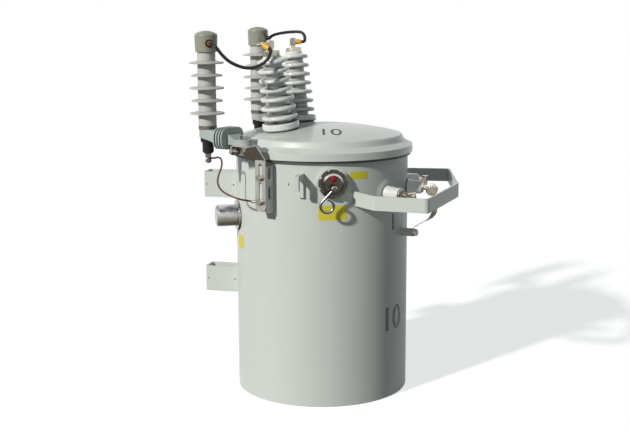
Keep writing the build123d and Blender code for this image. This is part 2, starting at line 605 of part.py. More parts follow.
def insulating_arm():
    """Moulded arm: a tongue under the arrester, thin skirts, an end plate and a clamping tongue."""
    plane = arm_plane()
    side_plane = Plane(origin=plane.origin, x_dir=plane.x_dir, z_dir=-plane.y_dir)
    low = ARRESTER_SEAT_Z - TONGUE_THICKNESS
    profile = make_face(Polyline((-TONGUE_RADIUS, ARRESTER_SEAT_Z), (-TONGUE_RADIUS, low),
                                 (-2 * TONGUE_RADIUS / 3, low), (SKIRT_START, ARRESTER_SEAT_Z - TONGUE_DROP),
                                 (SKIRT_START, ARRESTER_SEAT_Z), close=True))
    tongue = extrude(side_plane * profile, TONGUE_RADIUS, both=True)
    rounding = disc(at_arrester(0), TONGUE_RADIUS, 0, TALL)
    rounding += plane * Box(SKIRT_START, 2 * TONGUE_RADIUS, TALL, align=(Align.MIN, Align.CENTER, Align.CENTER))
    body = tongue & rounding
    end = skirt_x(ARM_SKIRTS) + ARM_END_PLATE
    core = Plane(origin=plane.from_local_coords((SKIRT_START, 0, ARM_CENTRE_Z)),
                 x_dir=plane.y_dir, z_dir=plane.x_dir)
    body += extrude(core * RectangleRounded(ARM_CORE_WIDTH, ARM_CORE_HEIGHT, ARM_CORE_ROUND), end - SKIRT_START)
    for index in range(ARM_SKIRTS + 1):
        thick = ARM_SKIRT_THICKNESS if index < ARM_SKIRTS else ARM_END_PLATE
        face = core.offset(skirt_x(index) - SKIRT_START)
        body += extrude(face * RectangleRounded(ARM_SKIRT_WIDTH, ARM_SKIRT_HEIGHT, ARM_SKIRT_ROUND), thick)
    clamp_low = CLAMP_TOP_Z - CLAMP_THICKNESS
    root = end - ARM_END_PLATE / 2
    outline = make_face(Polyline((root, -CLAMP_RADIUS), (CLAMP_X, -CLAMP_RADIUS),
                                 (CLAMP_X, CLAMP_RADIUS), (root, CLAMP_RADIUS), close=True))
    outline += Pos(CLAMP_X, 0) * Circle(CLAMP_RADIUS)
    clamp = extrude(plane * Pos(0, 0, clamp_low) * outline, CLAMP_THICKNESS, dir=(0, 0, 1))
    gusset = make_face(Polyline((root, CLAMP_TOP_Z), (end + CLAMP_GUSSET_RUN, CLAMP_TOP_Z),
                                (end, CLAMP_TOP_Z + CLAMP_GUSSET), (root, CLAMP_TOP_Z + CLAMP_GUSSET), close=True))
    ribs = extrude(side_plane * gusset, CLAMP_RADIUS, both=True)
    above = extrude(plane * Pos(0, 0, CLAMP_TOP_Z) * outline, 2 * CLAMP_GUSSET, dir=(0, 0, 1))
    clamp += ribs & above
    hole = Plane(origin=plane.from_local_coords((CLAMP_X, 0, 0)), z_dir=(0, 0, 1))
    return body + clamp - disc(hole, BOLT_RADIUS + BOLT_FIT, 0, TALL)


def disconnector():
    """Black ground lead disconnector that hangs under the arrester's tongue."""
    top = ARRESTER_SEAT_Z - TONGUE_THICKNESS
    head = DISCONNECTOR_HEAD_HEIGHT
    edge = DISCONNECTOR_ROUND
    body = tower([(DISCONNECTOR_RADIUS - edge, -DISCONNECTOR_LENGTH), (DISCONNECTOR_RADIUS, edge - DISCONNECTOR_LENGTH),
                  (DISCONNECTOR_RADIUS, -head - edge), (DISCONNECTOR_HEAD_RADIUS, -head),
                  (DISCONNECTOR_HEAD_RADIUS, 0)], at_arrester(top))
    return body - insulating_arm()


def ground_stud():
    top = ARRESTER_SEAT_Z - TONGUE_THICKNESS - DISCONNECTOR_LENGTH
    plane = at_arrester(top)
    wire_top = -(GROUND_NUT_HEIGHT + GROUND_WASHER)
    wire_low = wire_top - GROUND_WIRE_DIAMETER
    body = hexagon(plane, GROUND_STUD_ACROSS, -GROUND_NUT_HEIGHT, 0)
    body += disc(plane, GROUND_WASHER_RADIUS, wire_top, -GROUND_NUT_HEIGHT)
    nut_top = wire_low - GROUND_WASHER
    body += disc(plane, GROUND_WASHER_RADIUS, nut_top, wire_low)
    body += hexagon(plane, GROUND_STUD_ACROSS, nut_top - GROUND_LOWER_NUT, nut_top, turn=20)
    body += disc(plane, GROUND_STUD_RADIUS, -GROUND_STUD_LENGTH, 0)
    return body


def strap_point(side_shift, z, radius):
    """World point from the bracket's own measures: towards the arrester, height, distance from the axis."""
    return bearing_plane(BRACKET_BEARING, 0, 0).from_local_coords((-side_shift, z, radius))


def bracket_directions():
    """Outwards from the tank, and along the tank's wall towards the arrester."""
    plane = bearing_plane(BRACKET_BEARING, 0, 0)
    return Vector(*plane.z_dir), -Vector(*plane.x_dir)


def metal_bracket():
    """Bent stainless plate: slotted strap, leaning web, flange under the clamp and an end tab."""
    t = PLATE_THICKNESS
    out, across = bracket_directions()
    back = STRAP_STANDOFF - t
    face = bearing_plane(BRACKET_BEARING, back, 0)
    half = STRAP_WIDTH / 2
    with BuildSketch(face) as strap_sketch:
        with Locations((0, (STRAP_TOP_Z + t + STRAP_BOTTOM_Z) / 2)):
            RectangleRounded(STRAP_WIDTH, STRAP_TOP_Z + t - STRAP_BOTTOM_Z, STRAP_ROUND)
        for low, high in STRAP_SLOTS:
            with Locations((0, STRAP_BOTTOM_Z + (low + high) / 2)):
                SlotOverall(high - low, SLOT_WIDTH, rotation=90, mode=Mode.SUBTRACT)
    body = extrude(strap_sketch.sketch, t)
    flange_top = CLAMP_TOP_Z - CLAMP_THICKNESS
    flange_low = flange_top - t
    # leaning web, between the strap's top and the flange's inner edge
    web_face = make_face(Polyline(strap_point(-half, STRAP_TOP_Z, back), strap_point(WEB_LEFT, STRAP_TOP_Z, back),
                                  strap_point(FLANGE_LEFT, flange_low, FLANGE_INNER),
                                  strap_point(-FLANGE_RIGHT, flange_low, FLANGE_INNER), close=True))
    body += extrude(web_face, t, dir=out)
    flange_middle = strap_point((FLANGE_LEFT - FLANGE_RIGHT) / 2, flange_low, (FLANGE_INNER + FLANGE_OUTER) / 2)
    flange_plane = Plane(origin=flange_middle, x_dir=across, z_dir=(0, 0, 1))
    flange = RectangleRounded(FLANGE_LEFT + FLANGE_RIGHT, FLANGE_OUTER - FLANGE_INNER, FLANGE_ROUND)
    body += extrude(flange_plane * flange, t)
    bolt_hole = Plane(origin=strap_point(ARM_REACH - CLAMP_X, flange_low, ARM_STANDOFF), z_dir=(0, 0, 1))
    body -= disc(bolt_hole, BOLT_RADIUS + BOLT_FIT, -t, 2 * t)
    # end tab, towards the arrester
    middle = strap_point(FLANGE_LEFT - t, flange_top - TAB_DROP / 2, (TAB_INNER + FLANGE_OUTER) / 2)
    tab_plane = Plane(origin=middle, x_dir=out, z_dir=across)
    body += extrude(tab_plane * RectangleRounded(FLANGE_OUTER - TAB_INNER, TAB_DROP, TAB_ROUND), t)
    return body - disc(tab_bolt_plane(), BOLT_RADIUS + BOLT_FIT, -2 * t, t)


def tab_bolt_plane():
    """On the tab's outer face, pointing to the arrester."""
    out, across = bracket_directions()
    z = CLAMP_TOP_Z - CLAMP_THICKNESS - PLATE_THICKNESS - TAB_BOLT_DROP
    return Plane(origin=strap_point(FLANGE_LEFT, z, (TAB_INNER + FLANGE_OUTER) / 2 + TAB_BOLT_SHIFT), z_dir=across)


def bracket_pad():
    """Painted channel welded to the tank, slotted in its legs."""
    back = STRAP_STANDOFF - PLATE_THICKNESS
    front = bearing_plane(BRACKET_BEARING, back, 0)
    depth = back - TANK_RADIUS + WELD_DEPTH
    low = STRAP_BOTTOM_Z - PAD_BOTTOM_DROP
    middle = low + PAD_HEIGHT / 2
    body = front * Pos(0, middle, 0) * Box(PAD_WIDTH, PAD_HEIGHT, depth, align=(Align.CENTER, Align.CENTER, Align.MAX))
    hollow = PAD_WIDTH - 2 * PLATE_THICKNESS
    body -= front * Pos(0, middle, -PLATE_THICKNESS) * Box(hollow, TALL, depth,
                                                           align=(Align.CENTER, Align.CENTER, Align.MAX))
    for height in PAD_LEG_SLOTS:
        leg = Plane(origin=strap_point(0, low + height, (TANK_RADIUS + back) / 2),
                    x_dir=(0, 0, 1), z_dir=front.x_dir)
        body -= extrude(leg * SlotOverall(PAD_LEG_SLOT_LENGTH, PAD_LEG_SLOT_WIDTH), PAD_WIDTH, both=True)
    for height in BRACKET_BOLTS:
        hole = bearing_plane(BRACKET_BEARING, back, STRAP_BOTTOM_Z + height)
        body -= disc(hole, BOLT_RADIUS + BOLT_FIT, -2 * PLATE_THICKNESS, PLATE_THICKNESS)
    return body - tank_body()


def bolt(plane, grip, tail, washer):
    """Hexagon bolt: head and washer above the plane, shank and nut below it."""
    body = disc(plane, washer, 0, WASHER_THICKNESS)
    body += hexagon(plane, BOLT_ACROSS, WASHER_THICKNESS, WASHER_THICKNESS + BOLT_HEAD)
    body += disc(plane, BOLT_RADIUS, -grip - tail, WASHER_THICKNESS)
    body += hexagon(plane, BOLT_ACROSS, -grip - BOLT_HEAD, -grip)
    return body


def ground_lug():
    """Ring lug under the lower strap bolt, with the barrel that takes the ground lead."""
    z = STRAP_BOTTOM_Z + BRACKET_BOLTS[0]
    seat = bearing_plane(BRACKET_BEARING, STRAP_STANDOFF, z)
    body = disc(seat, GROUND_LUG_RADIUS, 0, GROUND_LUG_THICKNESS)
    body += seat * Box(GROUND_LUG_REACH + GROUND_LUG_THICKNESS, GROUND_LUG_RADIUS, GROUND_LUG_THICKNESS,
                       align=(Align.MAX, Align.CENTER, Align.MIN))
    mouth, way = ground_lug_mouth()
    back = Plane(origin=mouth - way * GROUND_LUG_BARREL, z_dir=way)
    body += disc(back, GROUND_LUG_BARREL_RADIUS, 0, GROUND_LUG_BARREL)
    return body - disc(seat, BOLT_RADIUS, -1, WASHER_RADIUS)


def ground_lug_mouth():
    """Where the ground lead enters its lug, and the way out of the barrel."""
    out, across = bracket_directions()
    left, up, outwards = GROUND_LUG_WAY
    way = (across * left + Vector(0, 0, up) + out * outwards).normalized()
    z = STRAP_BOTTOM_Z + BRACKET_BOLTS[0]
    root = strap_point(GROUND_LUG_REACH, z, STRAP_STANDOFF + GROUND_LUG_BARREL_RADIUS + GROUND_LUG_THICKNESS / 2)
    return root + way * GROUND_LUG_BARREL, way


def ground_route():
    """The ground lead's points, from the stud to its lug on the strap."""
    mouth, way = ground_lug_mouth()
    return [Vector(*p) for p in GROUND_ROUTE] + [mouth + way * GROUND_LUG_BARREL, mouth]


def bracket_bolts():
    """Two bolts through the strap, the clamp bolt, and the end tab's bolt with its long head."""
    pieces = [ground_lug()]
    for height, lift in zip(BRACKET_BOLTS, (GROUND_LUG_THICKNESS, 0)):
        plane = bearing_plane(BRACKET_BEARING, STRAP_STANDOFF + lift, STRAP_BOTTOM_Z + height)
        pieces.append(bolt(plane, 2 * PLATE_THICKNESS + lift, STRAP_BOLT_TAIL, GROUND_LUG_RADIUS))
    plane = arm_plane()
    clamp = Plane(origin=plane.from_local_coords((CLAMP_X, 0, CLAMP_TOP_Z)), z_dir=(0, 0, 1))
    pieces.append(bolt(clamp, CLAMP_THICKNESS + PLATE_THICKNESS, CLAMP_BOLT_TAIL, WASHER_RADIUS))
    tab = tab_bolt_plane()
    knob = disc(tab, TAB_WASHER_RADIUS, 0, TAB_WASHER)
    knob += disc(tab, TAB_KNOB_RADIUS, TAB_WASHER, TAB_WASHER + TAB_KNOB_LENGTH)
    knob += disc(tab, BOLT_RADIUS, -PLATE_THICKNESS - BOLT_HEAD - TAB_NUT_TAIL, TAB_WASHER)
    knob += hexagon(tab, BOLT_ACROSS, -PLATE_THICKNESS - BOLT_HEAD, -PLATE_THICKNESS)
    pieces.append(knob)
    return Compound(children=pieces)


# ---------------------------------------------------------------- tap changer cover, breaker
def wall_seat(plane, radius, start, end):
    """Round boss on the tank's wall, cut to the wall's curve."""
    return disc(plane, radius, start, end) - tank_body()


def tap_cover():
    """Pressed stainless cup with a flange, on a short seat on the tank's wall."""
    plane = bearing_plane(TAP_BEARING, TANK_RADIUS, TAP_Z)
    seat = wall_seat(plane, TAP_SEAT_RADIUS, -WELD_DEPTH, TAP_SEAT_LENGTH)
    flange = disc(plane, TAP_FLANGE_RADIUS, TAP_SEAT_LENGTH, TAP_SEAT_LENGTH + TAP_FLANGE_THICKNESS)
    cup = tower([(TAP_CUP_RADIUS, TAP_SEAT_LENGTH), (TAP_CUP_RADIUS, TAP_CUP_LENGTH - TAP_CUP_ROUND),
                 (TAP_CUP_RADIUS - TAP_CUP_ROUND, TAP_CUP_LENGTH)], plane)
    return seat + flange + cup


def breaker_plane():
    return bearing_plane(BREAKER_BEARING, TANK_RADIUS, BREAKER_Z)


def breaker_boss():
    return wall_seat(breaker_plane(), BREAKER_BOSS_RADIUS, -WELD_DEPTH, BREAKER_BOSS_LENGTH)


def breaker_collar():
    """Notched lock ring round the breaker's face."""
    plane = breaker_plane()
    start = BREAKER_BOSS_LENGTH
    ring = disc(plane, COLLAR_RADIUS, start, start + COLLAR_THICKNESS)
    ring -= disc(plane, FACE_RADIUS, 0, start + 2 * COLLAR_THICKNESS)
    for index in range(COLLAR_NOTCHES):
        turn = 360 / COLLAR_NOTCHES * (index + 0.4)
        ring -= plane * Rot(0, 0, turn) * Pos(COLLAR_RADIUS, 0, start) * Box(
            2 * COLLAR_NOTCH_DEPTH, COLLAR_NOTCH_WIDTH, 4 * COLLAR_THICKNESS)
    return ring


def breaker_face():
    """Domed cap in the lock ring, bored for the handle's shaft."""
    plane = breaker_plane()
    start = BREAKER_BOSS_LENGTH
    front = breaker_front()
    cap = tower([(FACE_RADIUS, start), (FACE_RADIUS, front - FACE_ROUND), (FACE_RADIUS - FACE_ROUND, front)], plane)
    return cap - disc(shaft_plane(), SHAFT_RADIUS + SHAFT_CLEARANCE, start + SHAFT_SEAT, 2 * front)


def breaker_front():
    return BREAKER_BOSS_LENGTH + COLLAR_THICKNESS + FACE_LENGTH


def shaft_plane():
    """The handle's shaft, on the breaker's plane."""
    plane = breaker_plane()
    return Plane(origin=plane.from_local_coords((0, -SHAFT_DROP, 0)), x_dir=plane.x_dir, z_dir=plane.z_dir)


def breaker_lamp():
    """Red signal lamp on the breaker's face."""
    plane = breaker_plane()
    centre = Plane(origin=plane.from_local_coords((0, LAMP_RISE, breaker_front())), x_dir=plane.x_dir,
                   z_dir=plane.z_dir)
    shape = [(1, 0), (1, 0.3), (0.92, 0.54), (0.7, 0.83), (0.38, 1)]
    return tower([(LAMP_RADIUS * across, LAMP_HEIGHT * up) for across, up in shape], centre)


def breaker_handle():
    """Shaft, hub and rod whose end is turned into an eye for a hook stick."""
    plane = shaft_plane()
    hub_start = breaker_front() + HANDLE_GAP
    hub_end = hub_start + HUB_LENGTH
    body = disc(plane, SHAFT_RADIUS, BREAKER_BOSS_LENGTH + SHAFT_SEAT, hub_start + HUB_ROUND)
    body += tower([(HUB_RADIUS, hub_start), (HUB_RADIUS, hub_end - HUB_ROUND), (HUB_RADIUS - HUB_ROUND, hub_end)],
                  plane)
    rod_plane = plane.offset(hub_start + HUB_LENGTH / 2)
    # local X of the plane points away from the arrester, so the eye lies on its negative side
    centre = Vector(-HANDLE_EYE_X, -HANDLE_EYE_DROP)
    reach = centre.length
    lean = degrees(atan2(centre.Y, centre.X))
    tangent = degrees(asin(HANDLE_EYE_RADIUS / reach))
    straight = sqrt(reach ** 2 - HANDLE_EYE_RADIUS ** 2)
    start_angle = lean - tangent
    touch = Vector(straight * cos(radians(start_angle)), straight * sin(radians(start_angle)))
    with BuildLine(rod_plane) as line:
        Line((0, 0), (touch.X, touch.Y))
        CenterArc((centre.X, centre.Y), HANDLE_EYE_RADIUS, start_angle - 90, HANDLE_EYE_TURN)
    section = Plane(origin=rod_plane.origin, z_dir=line.edges()[0] % 0)
    body += sweep(section * Circle(HANDLE_ROD / 2), path=line.line)
    return body


# ---------------------------------------------------------------- lifting lugs and hangers
def lifting_lug(sign):
    """Lifting lug on the tank's side: foot plate, arm and a tip that hangs down in front of the throat."""
    top = LUG_TOP_Z
    tip = top - LUG_TIP_DROP
    foot = top - LUG_FOOT_DROP
    wall = TANK_RADIUS - WELD_DEPTH
    plate = TANK_RADIUS + LUG_FOOT_PLATE
    out = TANK_RADIUS + LUG_REACH
    throat = out - LUG_TIP_PLATE
    with BuildSketch(Plane.XZ) as outline:
        with BuildLine():
            Polyline((wall, foot), (plate, foot), (plate, top - LUG_ARM), (throat, top - LUG_ARM), (throat, tip),
                     (out, tip), (out, top), (wall, top), close=True)
        make_face()
        corners = outline.vertices()
        fillet([v for v in corners if abs(v.X - out) < 0.01 and abs(v.Z - top) < 0.01], LUG_ROUND)
        fillet([v for v in corners if plate - 0.01 < v.X < throat + 0.01 and abs(v.Z - top + LUG_ARM) < 0.01],
               LUG_THROAT_ROUND)
    body = extrude(outline.sketch, LUG_WIDTH / 2, both=True)
    body = Pos(0, LUG_SHIFT, 0) * body - tank_body()
    return body if sign > 0 else mirrored(body)


def hanger(z):
    """Welded channel that bolts to the pole: two side plates and a slotted pole plate."""
    depth = HANGER_REACH
    body = Pos(0, HANGER_REACH, z) * Box(HANGER_WIDTH, depth, HANGER_HEIGHT,
                                         align=(Align.CENTER, Align.MAX, Align.CENTER))
    body = fillet(body.edges().filter_by(Axis.Z).sort_by(Axis.Y)[-2:], HANGER_PLATE)
    body -= Pos(0, HANGER_REACH - HANGER_PLATE, z) * Box(
        HANGER_WIDTH - 2 * HANGER_PLATE, depth, TALL, align=(Align.CENTER, Align.MAX, Align.CENTER))
    slot = Plane(origin=(0, HANGER_REACH, z), x_dir=(0, 0, 1), z_dir=(0, 1, 0))
    body -= extrude(slot * SlotOverall(HANGER_SLOT_LENGTH, HANGER_SLOT_WIDTH), 2 * HANGER_PLATE, both=True)
    for y in JIG_HOLE_Y:
        body -= Pos(0, y, z) * Rot(0, 90, 0) * Cylinder(JIG_HOLE_RADIUS, 2 * HANGER_WIDTH)
    return body - tank_body()


# ---------------------------------------------------------------- low voltage side
def lv_bearing(number):
    """Bearing of a low voltage bushing: the middle one on -Y, the others to its sides."""
    turn = degrees(asin(LV_SPREAD / TANK_RADIUS))
    return 270 + turn * (number - 2)


def lv_plane(number):
    return bearing_plane(lv_bearing(number), TANK_RADIUS, LV_Z)


def lv_boss(number):
    plane = lv_plane(number)
    cone = tower([(LV_BOSS_RADIUS, -WELD_DEPTH), (LV_BOSS_RADIUS, LV_BOSS_FOOT),
                  (LV_BOSS_TOP_RADIUS, LV_BOSS_LENGTH)], plane)
    return cone - tank_body()


def lv_gasket(number):
    return disc(lv_plane(number), LV_GASKET_RADIUS, LV_BOSS_LENGTH, LV_BOSS_LENGTH + LV_GASKET_THICKNESS)


def lv_front():
    return LV_BOSS_LENGTH + LV_GASKET_THICKNESS + LV_BODY_LENGTH


def lv_bushing(number):
    start = LV_BOSS_LENGTH + LV_GASKET_THICKNESS
    front = lv_front()
    return tower([(LV_BODY_RADIUS, start), (LV_BODY_RADIUS, front - LV_CHAMFER),
                  (LV_BODY_RADIUS - LV_CHAMFER, front)], lv_plane(number))


def lv_terminal(number):
    """Hexagonal collar and stud; then a nut and point, a round eye, or a clamp with an upright bolt."""
    plane = lv_plane(number)
    front = lv_front()
    collar = front + LV_COLLAR_LENGTH
    end = collar + LV_STUD_LENGTH
    body = hexagon(plane, LV_COLLAR_ACROSS, front, collar)
    body += disc(plane, LV_STUD_RADIUS, front, end)
    if number == 1:
        body += hexagon(plane, LV_COLLAR_ACROSS, end, end + LV_NUT_LENGTH)
        point = end + LV_NUT_LENGTH
        body += tower([(LV_STUD_RADIUS, point), (LV_STUD_RADIUS, point + LV_TIP_LENGTH / 3),
                       (LV_STUD_RADIUS / 4, point + LV_TIP_LENGTH)], plane)
        return body
    if number == 2:
        centre = end + LV_EYE_RADIUS - LV_STUD_RADIUS / 2
        cross = Plane(origin=plane.from_local_coords((0, 0, centre)), x_dir=(0, 0, 1), z_dir=plane.x_dir)
        body += disc(cross, LV_EYE_RADIUS, -LV_EYE_WIDTH / 2, LV_EYE_WIDTH / 2)
        return body - disc(cross, LV_EYE_HOLE, -LV_EYE_WIDTH, LV_EYE_WIDTH)
    upright = Plane(origin=plane.from_local_coords((0, -LV_CLAMP_HEIGHT / 2, end)), x_dir=plane.z_dir, z_dir=(0, 0, 1))
    body += disc(upright, LV_CLAMP_RADIUS, 0, LV_CLAMP_HEIGHT)
    jaw = Plane(origin=plane.from_local_coords((0, 0, end)), x_dir=plane.z_dir, z_dir=(0, 0, 1))
    body += jaw * Box(LV_COLLAR_LENGTH, 2 * LV_CLAMP_RADIUS + LV_CLAMP_JAW, LV_CLAMP_JAW)
    return body


def guard():
    """Flat bar round the low voltage bushings, bent at five corners and welded to the tank."""
    left = [(-x, y) for x, y in (GUARD_ROOT, GUARD_SIDE, GUARD_CORNER)]
    left[2] = (left[2][0], left[2][1] - GUARD_SKEW)
    right = [(x, y) for x, y in (GUARD_CORNER, GUARD_SIDE, GUARD_ROOT)]
    right[0] = (right[0][0], right[0][1] + GUARD_SKEW)
    points = [Vector(x, y, GUARD_TOP_Z - GUARD_HEIGHT / 2) for x, y in left + [(0, GUARD_NOSE_Y)] + right]
    path = FilletPolyline(*points, radius=GUARD_BEND)
    section = Plane(origin=points[0], x_dir=(0, 0, 1), z_dir=points[1] - points[0])
    bar = sweep(section * Rectangle(GUARD_HEIGHT, GUARD_THICKNESS), path=path)
    return bar - tank_body()


def ground_plane():
    return bearing_plane(GROUND_BOSS_BEARING, TANK_RADIUS, GROUND_BOSS_Z)


def ground_boss():
    """Painted grounding boss on the tank's front."""
    return wall_seat(ground_plane(), GROUND_BOSS_RADIUS, -WELD_DEPTH, GROUND_BOSS_LENGTH)


def ground_screw():
    """Hexagon screw that holds the strap on the boss."""
    plane = ground_plane()
    head = GROUND_BOSS_LENGTH + GROUND_STRAP_THICKNESS
    return hexagon(plane, GROUND_NUT_ACROSS, head, head + GROUND_NUT_LENGTH)


def ground_strap():
    """Flat bronze strap from the middle low voltage terminal down to the grounding boss."""
    t = GROUND_STRAP_THICKNESS
    foot = ground_plane().offset(GROUND_BOSS_LENGTH + t / 2)
    low = foot.from_local_coords((0, -GROUND_STRAP_TAIL, 0))
    bend = foot.from_local_coords((0, GROUND_STRAP_STRAIGHT, 0))
    top = lv_plane(2).from_local_coords((0, -LV_EYE_RADIUS - t / 2, lv_front() + LV_COLLAR_LENGTH + LV_STUD_LENGTH
                                         + LV_EYE_RADIUS - LV_STUD_RADIUS / 2))
    bow = foot.from_local_coords((0, 2 * GROUND_STRAP_STRAIGHT, GROUND_STRAP_BOW))
    rise = Vector(top.X, top.Y - t, (top.Z + bow.Z) / 2)
    path = FilletPolyline(low, bend, bow, rise, top, radius=GROUND_STRAP_BENDS)
    section = Plane(origin=low, x_dir=foot.x_dir, z_dir=bend - low)
    return sweep(section * Rectangle(GROUND_STRAP_WIDTH, t), path=path)


# ---------------------------------------------------------------- leads' ends
def lug_seat(side):
    """Centre of the lug's palm, on the bushing's clamping bolt."""
    return hv_bolt_plane(side).from_local_coords((0, 0, LUG_PLACE[side]))


def boot_plane(side):
    """Start of the boot, pointing to its mouth."""
    return Plane(origin=lug_seat(side), z_dir=Vector(*BOOT_WAY[side]))


def jumper_route(side):
    """The jumper's points: straight out of the cap's entry, then by hand, then straight into the boot."""
    entry = cap_plane(side, CAP_ENTRY_BEARING[side], CAP_ENTRY_Z)
    start = entry.from_local_coords((0, 0, SLEEVE_LENGTH))
    boot = boot_plane(side)
    mouth = boot.from_local_coords((0, 0, BOOT_LENGTH[side]))
    before = boot.from_local_coords((0, 0, BOOT_LENGTH[side] + JUMPER_STRAIGHT[side]))
    return [start] + [Vector(*p) for p in JUMPER_ROUTE[side]] + [before, mouth]


def cap_gland(side):
    """Rubber ring round the jumper's entry into the arrester cap."""
    plane = cap_plane(side, CAP_ENTRY_BEARING[side], CAP_ENTRY_Z)
    ring = disc(plane, GLAND_RADIUS[side], -SLEEVE_RADIUS, CAP_ENTRY_RISE)
    return ring - cap_sleeve(side) - arrester_cap(side)


def cap_sleeve(side):
    """Short sleeve on the jumper where it leaves the cap."""
    plane = cap_plane(side, CAP_ENTRY_BEARING[side], CAP_ENTRY_Z)
    sleeve = disc(plane, SLEEVE_RADIUS, -SLEEVE_RADIUS, SLEEVE_LENGTH)
    return sleeve - arrester_cap(side) - tube(jumper_route(side), JUMPER_DIAMETER)


def jumper_lug(side):
    """Lug palm on the clamping bolt and the boot over its barrel."""
    bolt_plane = hv_bolt_plane(side).offset(LUG_PLACE[side])
    body = disc(bolt_plane, LUG_PALM_RADIUS, -LUG_PALM_THICKNESS / 2, LUG_PALM_THICKNESS / 2)
    wide = BOOT_WIDE_RADIUS[side]
    body += tower([(wide, 0), (wide, BOOT_LENGTH[side] / 2), (BOOT_NARROW_RADIUS[side], BOOT_LENGTH[side])],
                  boot_plane(side))
    return body - hv_terminal(side)


def main():
    save("tank_wall", tank_wall())
    save("tank_bottom", tank_bottom())
    save("cover_gasket", cover_gasket())
    save("tank_cover", tank_cover())
    save("hv_gaskets", Compound(children=[hv_gasket("left"), hv_gasket("right")]))
    for side in ("left", "right"):
        save(f"hv_bushing_{side}", hv_bushing(side))
        save(f"hv_terminal_{side}", hv_terminal(side))
        save(f"jumper_lead_{side}", tube(jumper_route(side), JUMPER_DIAMETER))
        save(f"jumper_lug_{side}", jumper_lug(side))
        save(f"cap_sleeve_{side}", cap_sleeve(side))
        save(f"arrester_cap_{side}", arrester_cap(side))
        save(f"cap_gland_{side}", cap_gland(side))
    left_pieces = {
        "arrester_housing": arrester_housing(),
        "arrester_ring": arrester_ring(),
        "insulating_arm": insulating_arm(),
        "disconnector": disconnector(),
        "ground_stud": ground_stud(),
        "metal_bracket": metal_bracket(),
        "bracket_pad": bracket_pad(),
        "bracket_bolts": bracket_bolts(),
        "ground_lead": tube(ground_route(), GROUND_WIRE_DIAMETER),
    }
    for name, piece in left_pieces.items():
        save(f"{name}_left", piece)
        save(f"{name}_right", mirrored(piece))
    save("tap_cover", tap_cover())
    save("breaker_boss", breaker_boss())
    save("breaker_collar", breaker_collar())
    save("breaker_face", breaker_face())
    save("breaker_lamp", breaker_lamp())
    save("breaker_handle", breaker_handle())
    save("lifting_lugs", Compound(children=[lifting_lug(1), lifting_lug(-1)]))
    for name, z in zip(("lower", "upper"), HANGER_Z):
        save(f"hanger_{name}", hanger(z))
    save("lv_bosses", Compound(children=[lv_boss(n) for n in LV_NUMBERS]))
    save("lv_gaskets", Compound(children=[lv_gasket(n) for n in LV_NUMBERS]))
    for number in LV_NUMBERS:
        save(f"lv_bushing_{number}", lv_bushing(number))
    save("lv_terminals", Compound(children=[lv_terminal(n) for n in LV_NUMBERS]))
    save("bushing_guard", guard())
    save("ground_boss", ground_boss())
    save("ground_screw", ground_screw())
    save("ground_strap", ground_strap())


main()
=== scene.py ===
"""Looks of the pole mounted transformer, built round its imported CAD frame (Blender 4.5, metres)."""
import json
import math

import bmesh
import bpy
from mathutils import Matrix, Vector


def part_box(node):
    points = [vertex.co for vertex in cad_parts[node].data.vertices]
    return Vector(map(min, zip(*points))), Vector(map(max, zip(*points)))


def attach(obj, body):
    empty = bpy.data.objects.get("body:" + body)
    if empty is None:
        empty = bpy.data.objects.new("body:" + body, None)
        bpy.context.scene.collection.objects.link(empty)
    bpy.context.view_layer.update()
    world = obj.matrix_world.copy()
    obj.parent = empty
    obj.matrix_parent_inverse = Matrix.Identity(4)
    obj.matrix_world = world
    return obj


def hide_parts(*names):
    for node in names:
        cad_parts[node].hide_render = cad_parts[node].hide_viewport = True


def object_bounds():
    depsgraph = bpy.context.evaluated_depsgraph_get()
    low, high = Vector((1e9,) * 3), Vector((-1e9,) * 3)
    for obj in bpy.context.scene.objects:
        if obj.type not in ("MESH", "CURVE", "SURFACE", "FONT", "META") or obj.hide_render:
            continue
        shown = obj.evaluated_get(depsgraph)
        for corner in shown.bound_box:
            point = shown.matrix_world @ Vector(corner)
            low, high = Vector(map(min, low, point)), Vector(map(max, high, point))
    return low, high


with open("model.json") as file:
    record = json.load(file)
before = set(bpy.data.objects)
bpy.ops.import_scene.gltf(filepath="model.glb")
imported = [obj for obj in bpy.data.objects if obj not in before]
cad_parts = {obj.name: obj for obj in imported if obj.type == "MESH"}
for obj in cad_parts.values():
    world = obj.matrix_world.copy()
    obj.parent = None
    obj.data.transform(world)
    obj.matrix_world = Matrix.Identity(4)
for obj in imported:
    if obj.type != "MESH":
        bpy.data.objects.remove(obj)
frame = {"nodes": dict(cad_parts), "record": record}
CAD_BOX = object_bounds()
NODES = frame["nodes"]
SLOT_OF = {part["node"]: part["material_slot"] for part in frame["record"]["subparts"]}
BODY = "transformer"
UPRIGHT = Vector((0, 0, 1))

# ---------------------------------------------------------------- camera, light, stage
CAMERA_PLACE = Vector((-3.2703, -0.8153, 1.1220))
CAMERA_LOOK = Vector((0.95244, 0.24360, -0.18306))
CAMERA_ROLL = 0.003906
CAMERA_LENS = 66.5
CAMERA_SENSOR = 36.0
CAMERA_REACH = 200.0
SUN_TRAVEL = Vector((0.745, -0.445, -0.495))
SUN_STRENGTH = 3.05
SUN_SOFTNESS = math.radians(3)
SUN_COLOUR = (1.0, 0.985, 0.955)
SKY_STRENGTH = 0.15
SKY_COLOUR = (0.76, 0.91, 1.0, 1)
WHITE = (1, 1, 1, 1)
FLOOR_SIZE = 60.0
FLOOR_DROP = 0.0005        # keeps the floor just clear of the tank's foot
FLOOR_BOUNCE = 0.25        # how much light the floor throws back on the object
FLOOR_SHADE = 0.5          # how strongly the floor shows the object's shadow
FLOOR_GLOW = 0.705         # share of the floor's white that its shadow doesn't darken
MIX_FIRST, MIX_SECOND, MIX_RESULT = 6, 7, 2    # the Mix node's sockets for colours


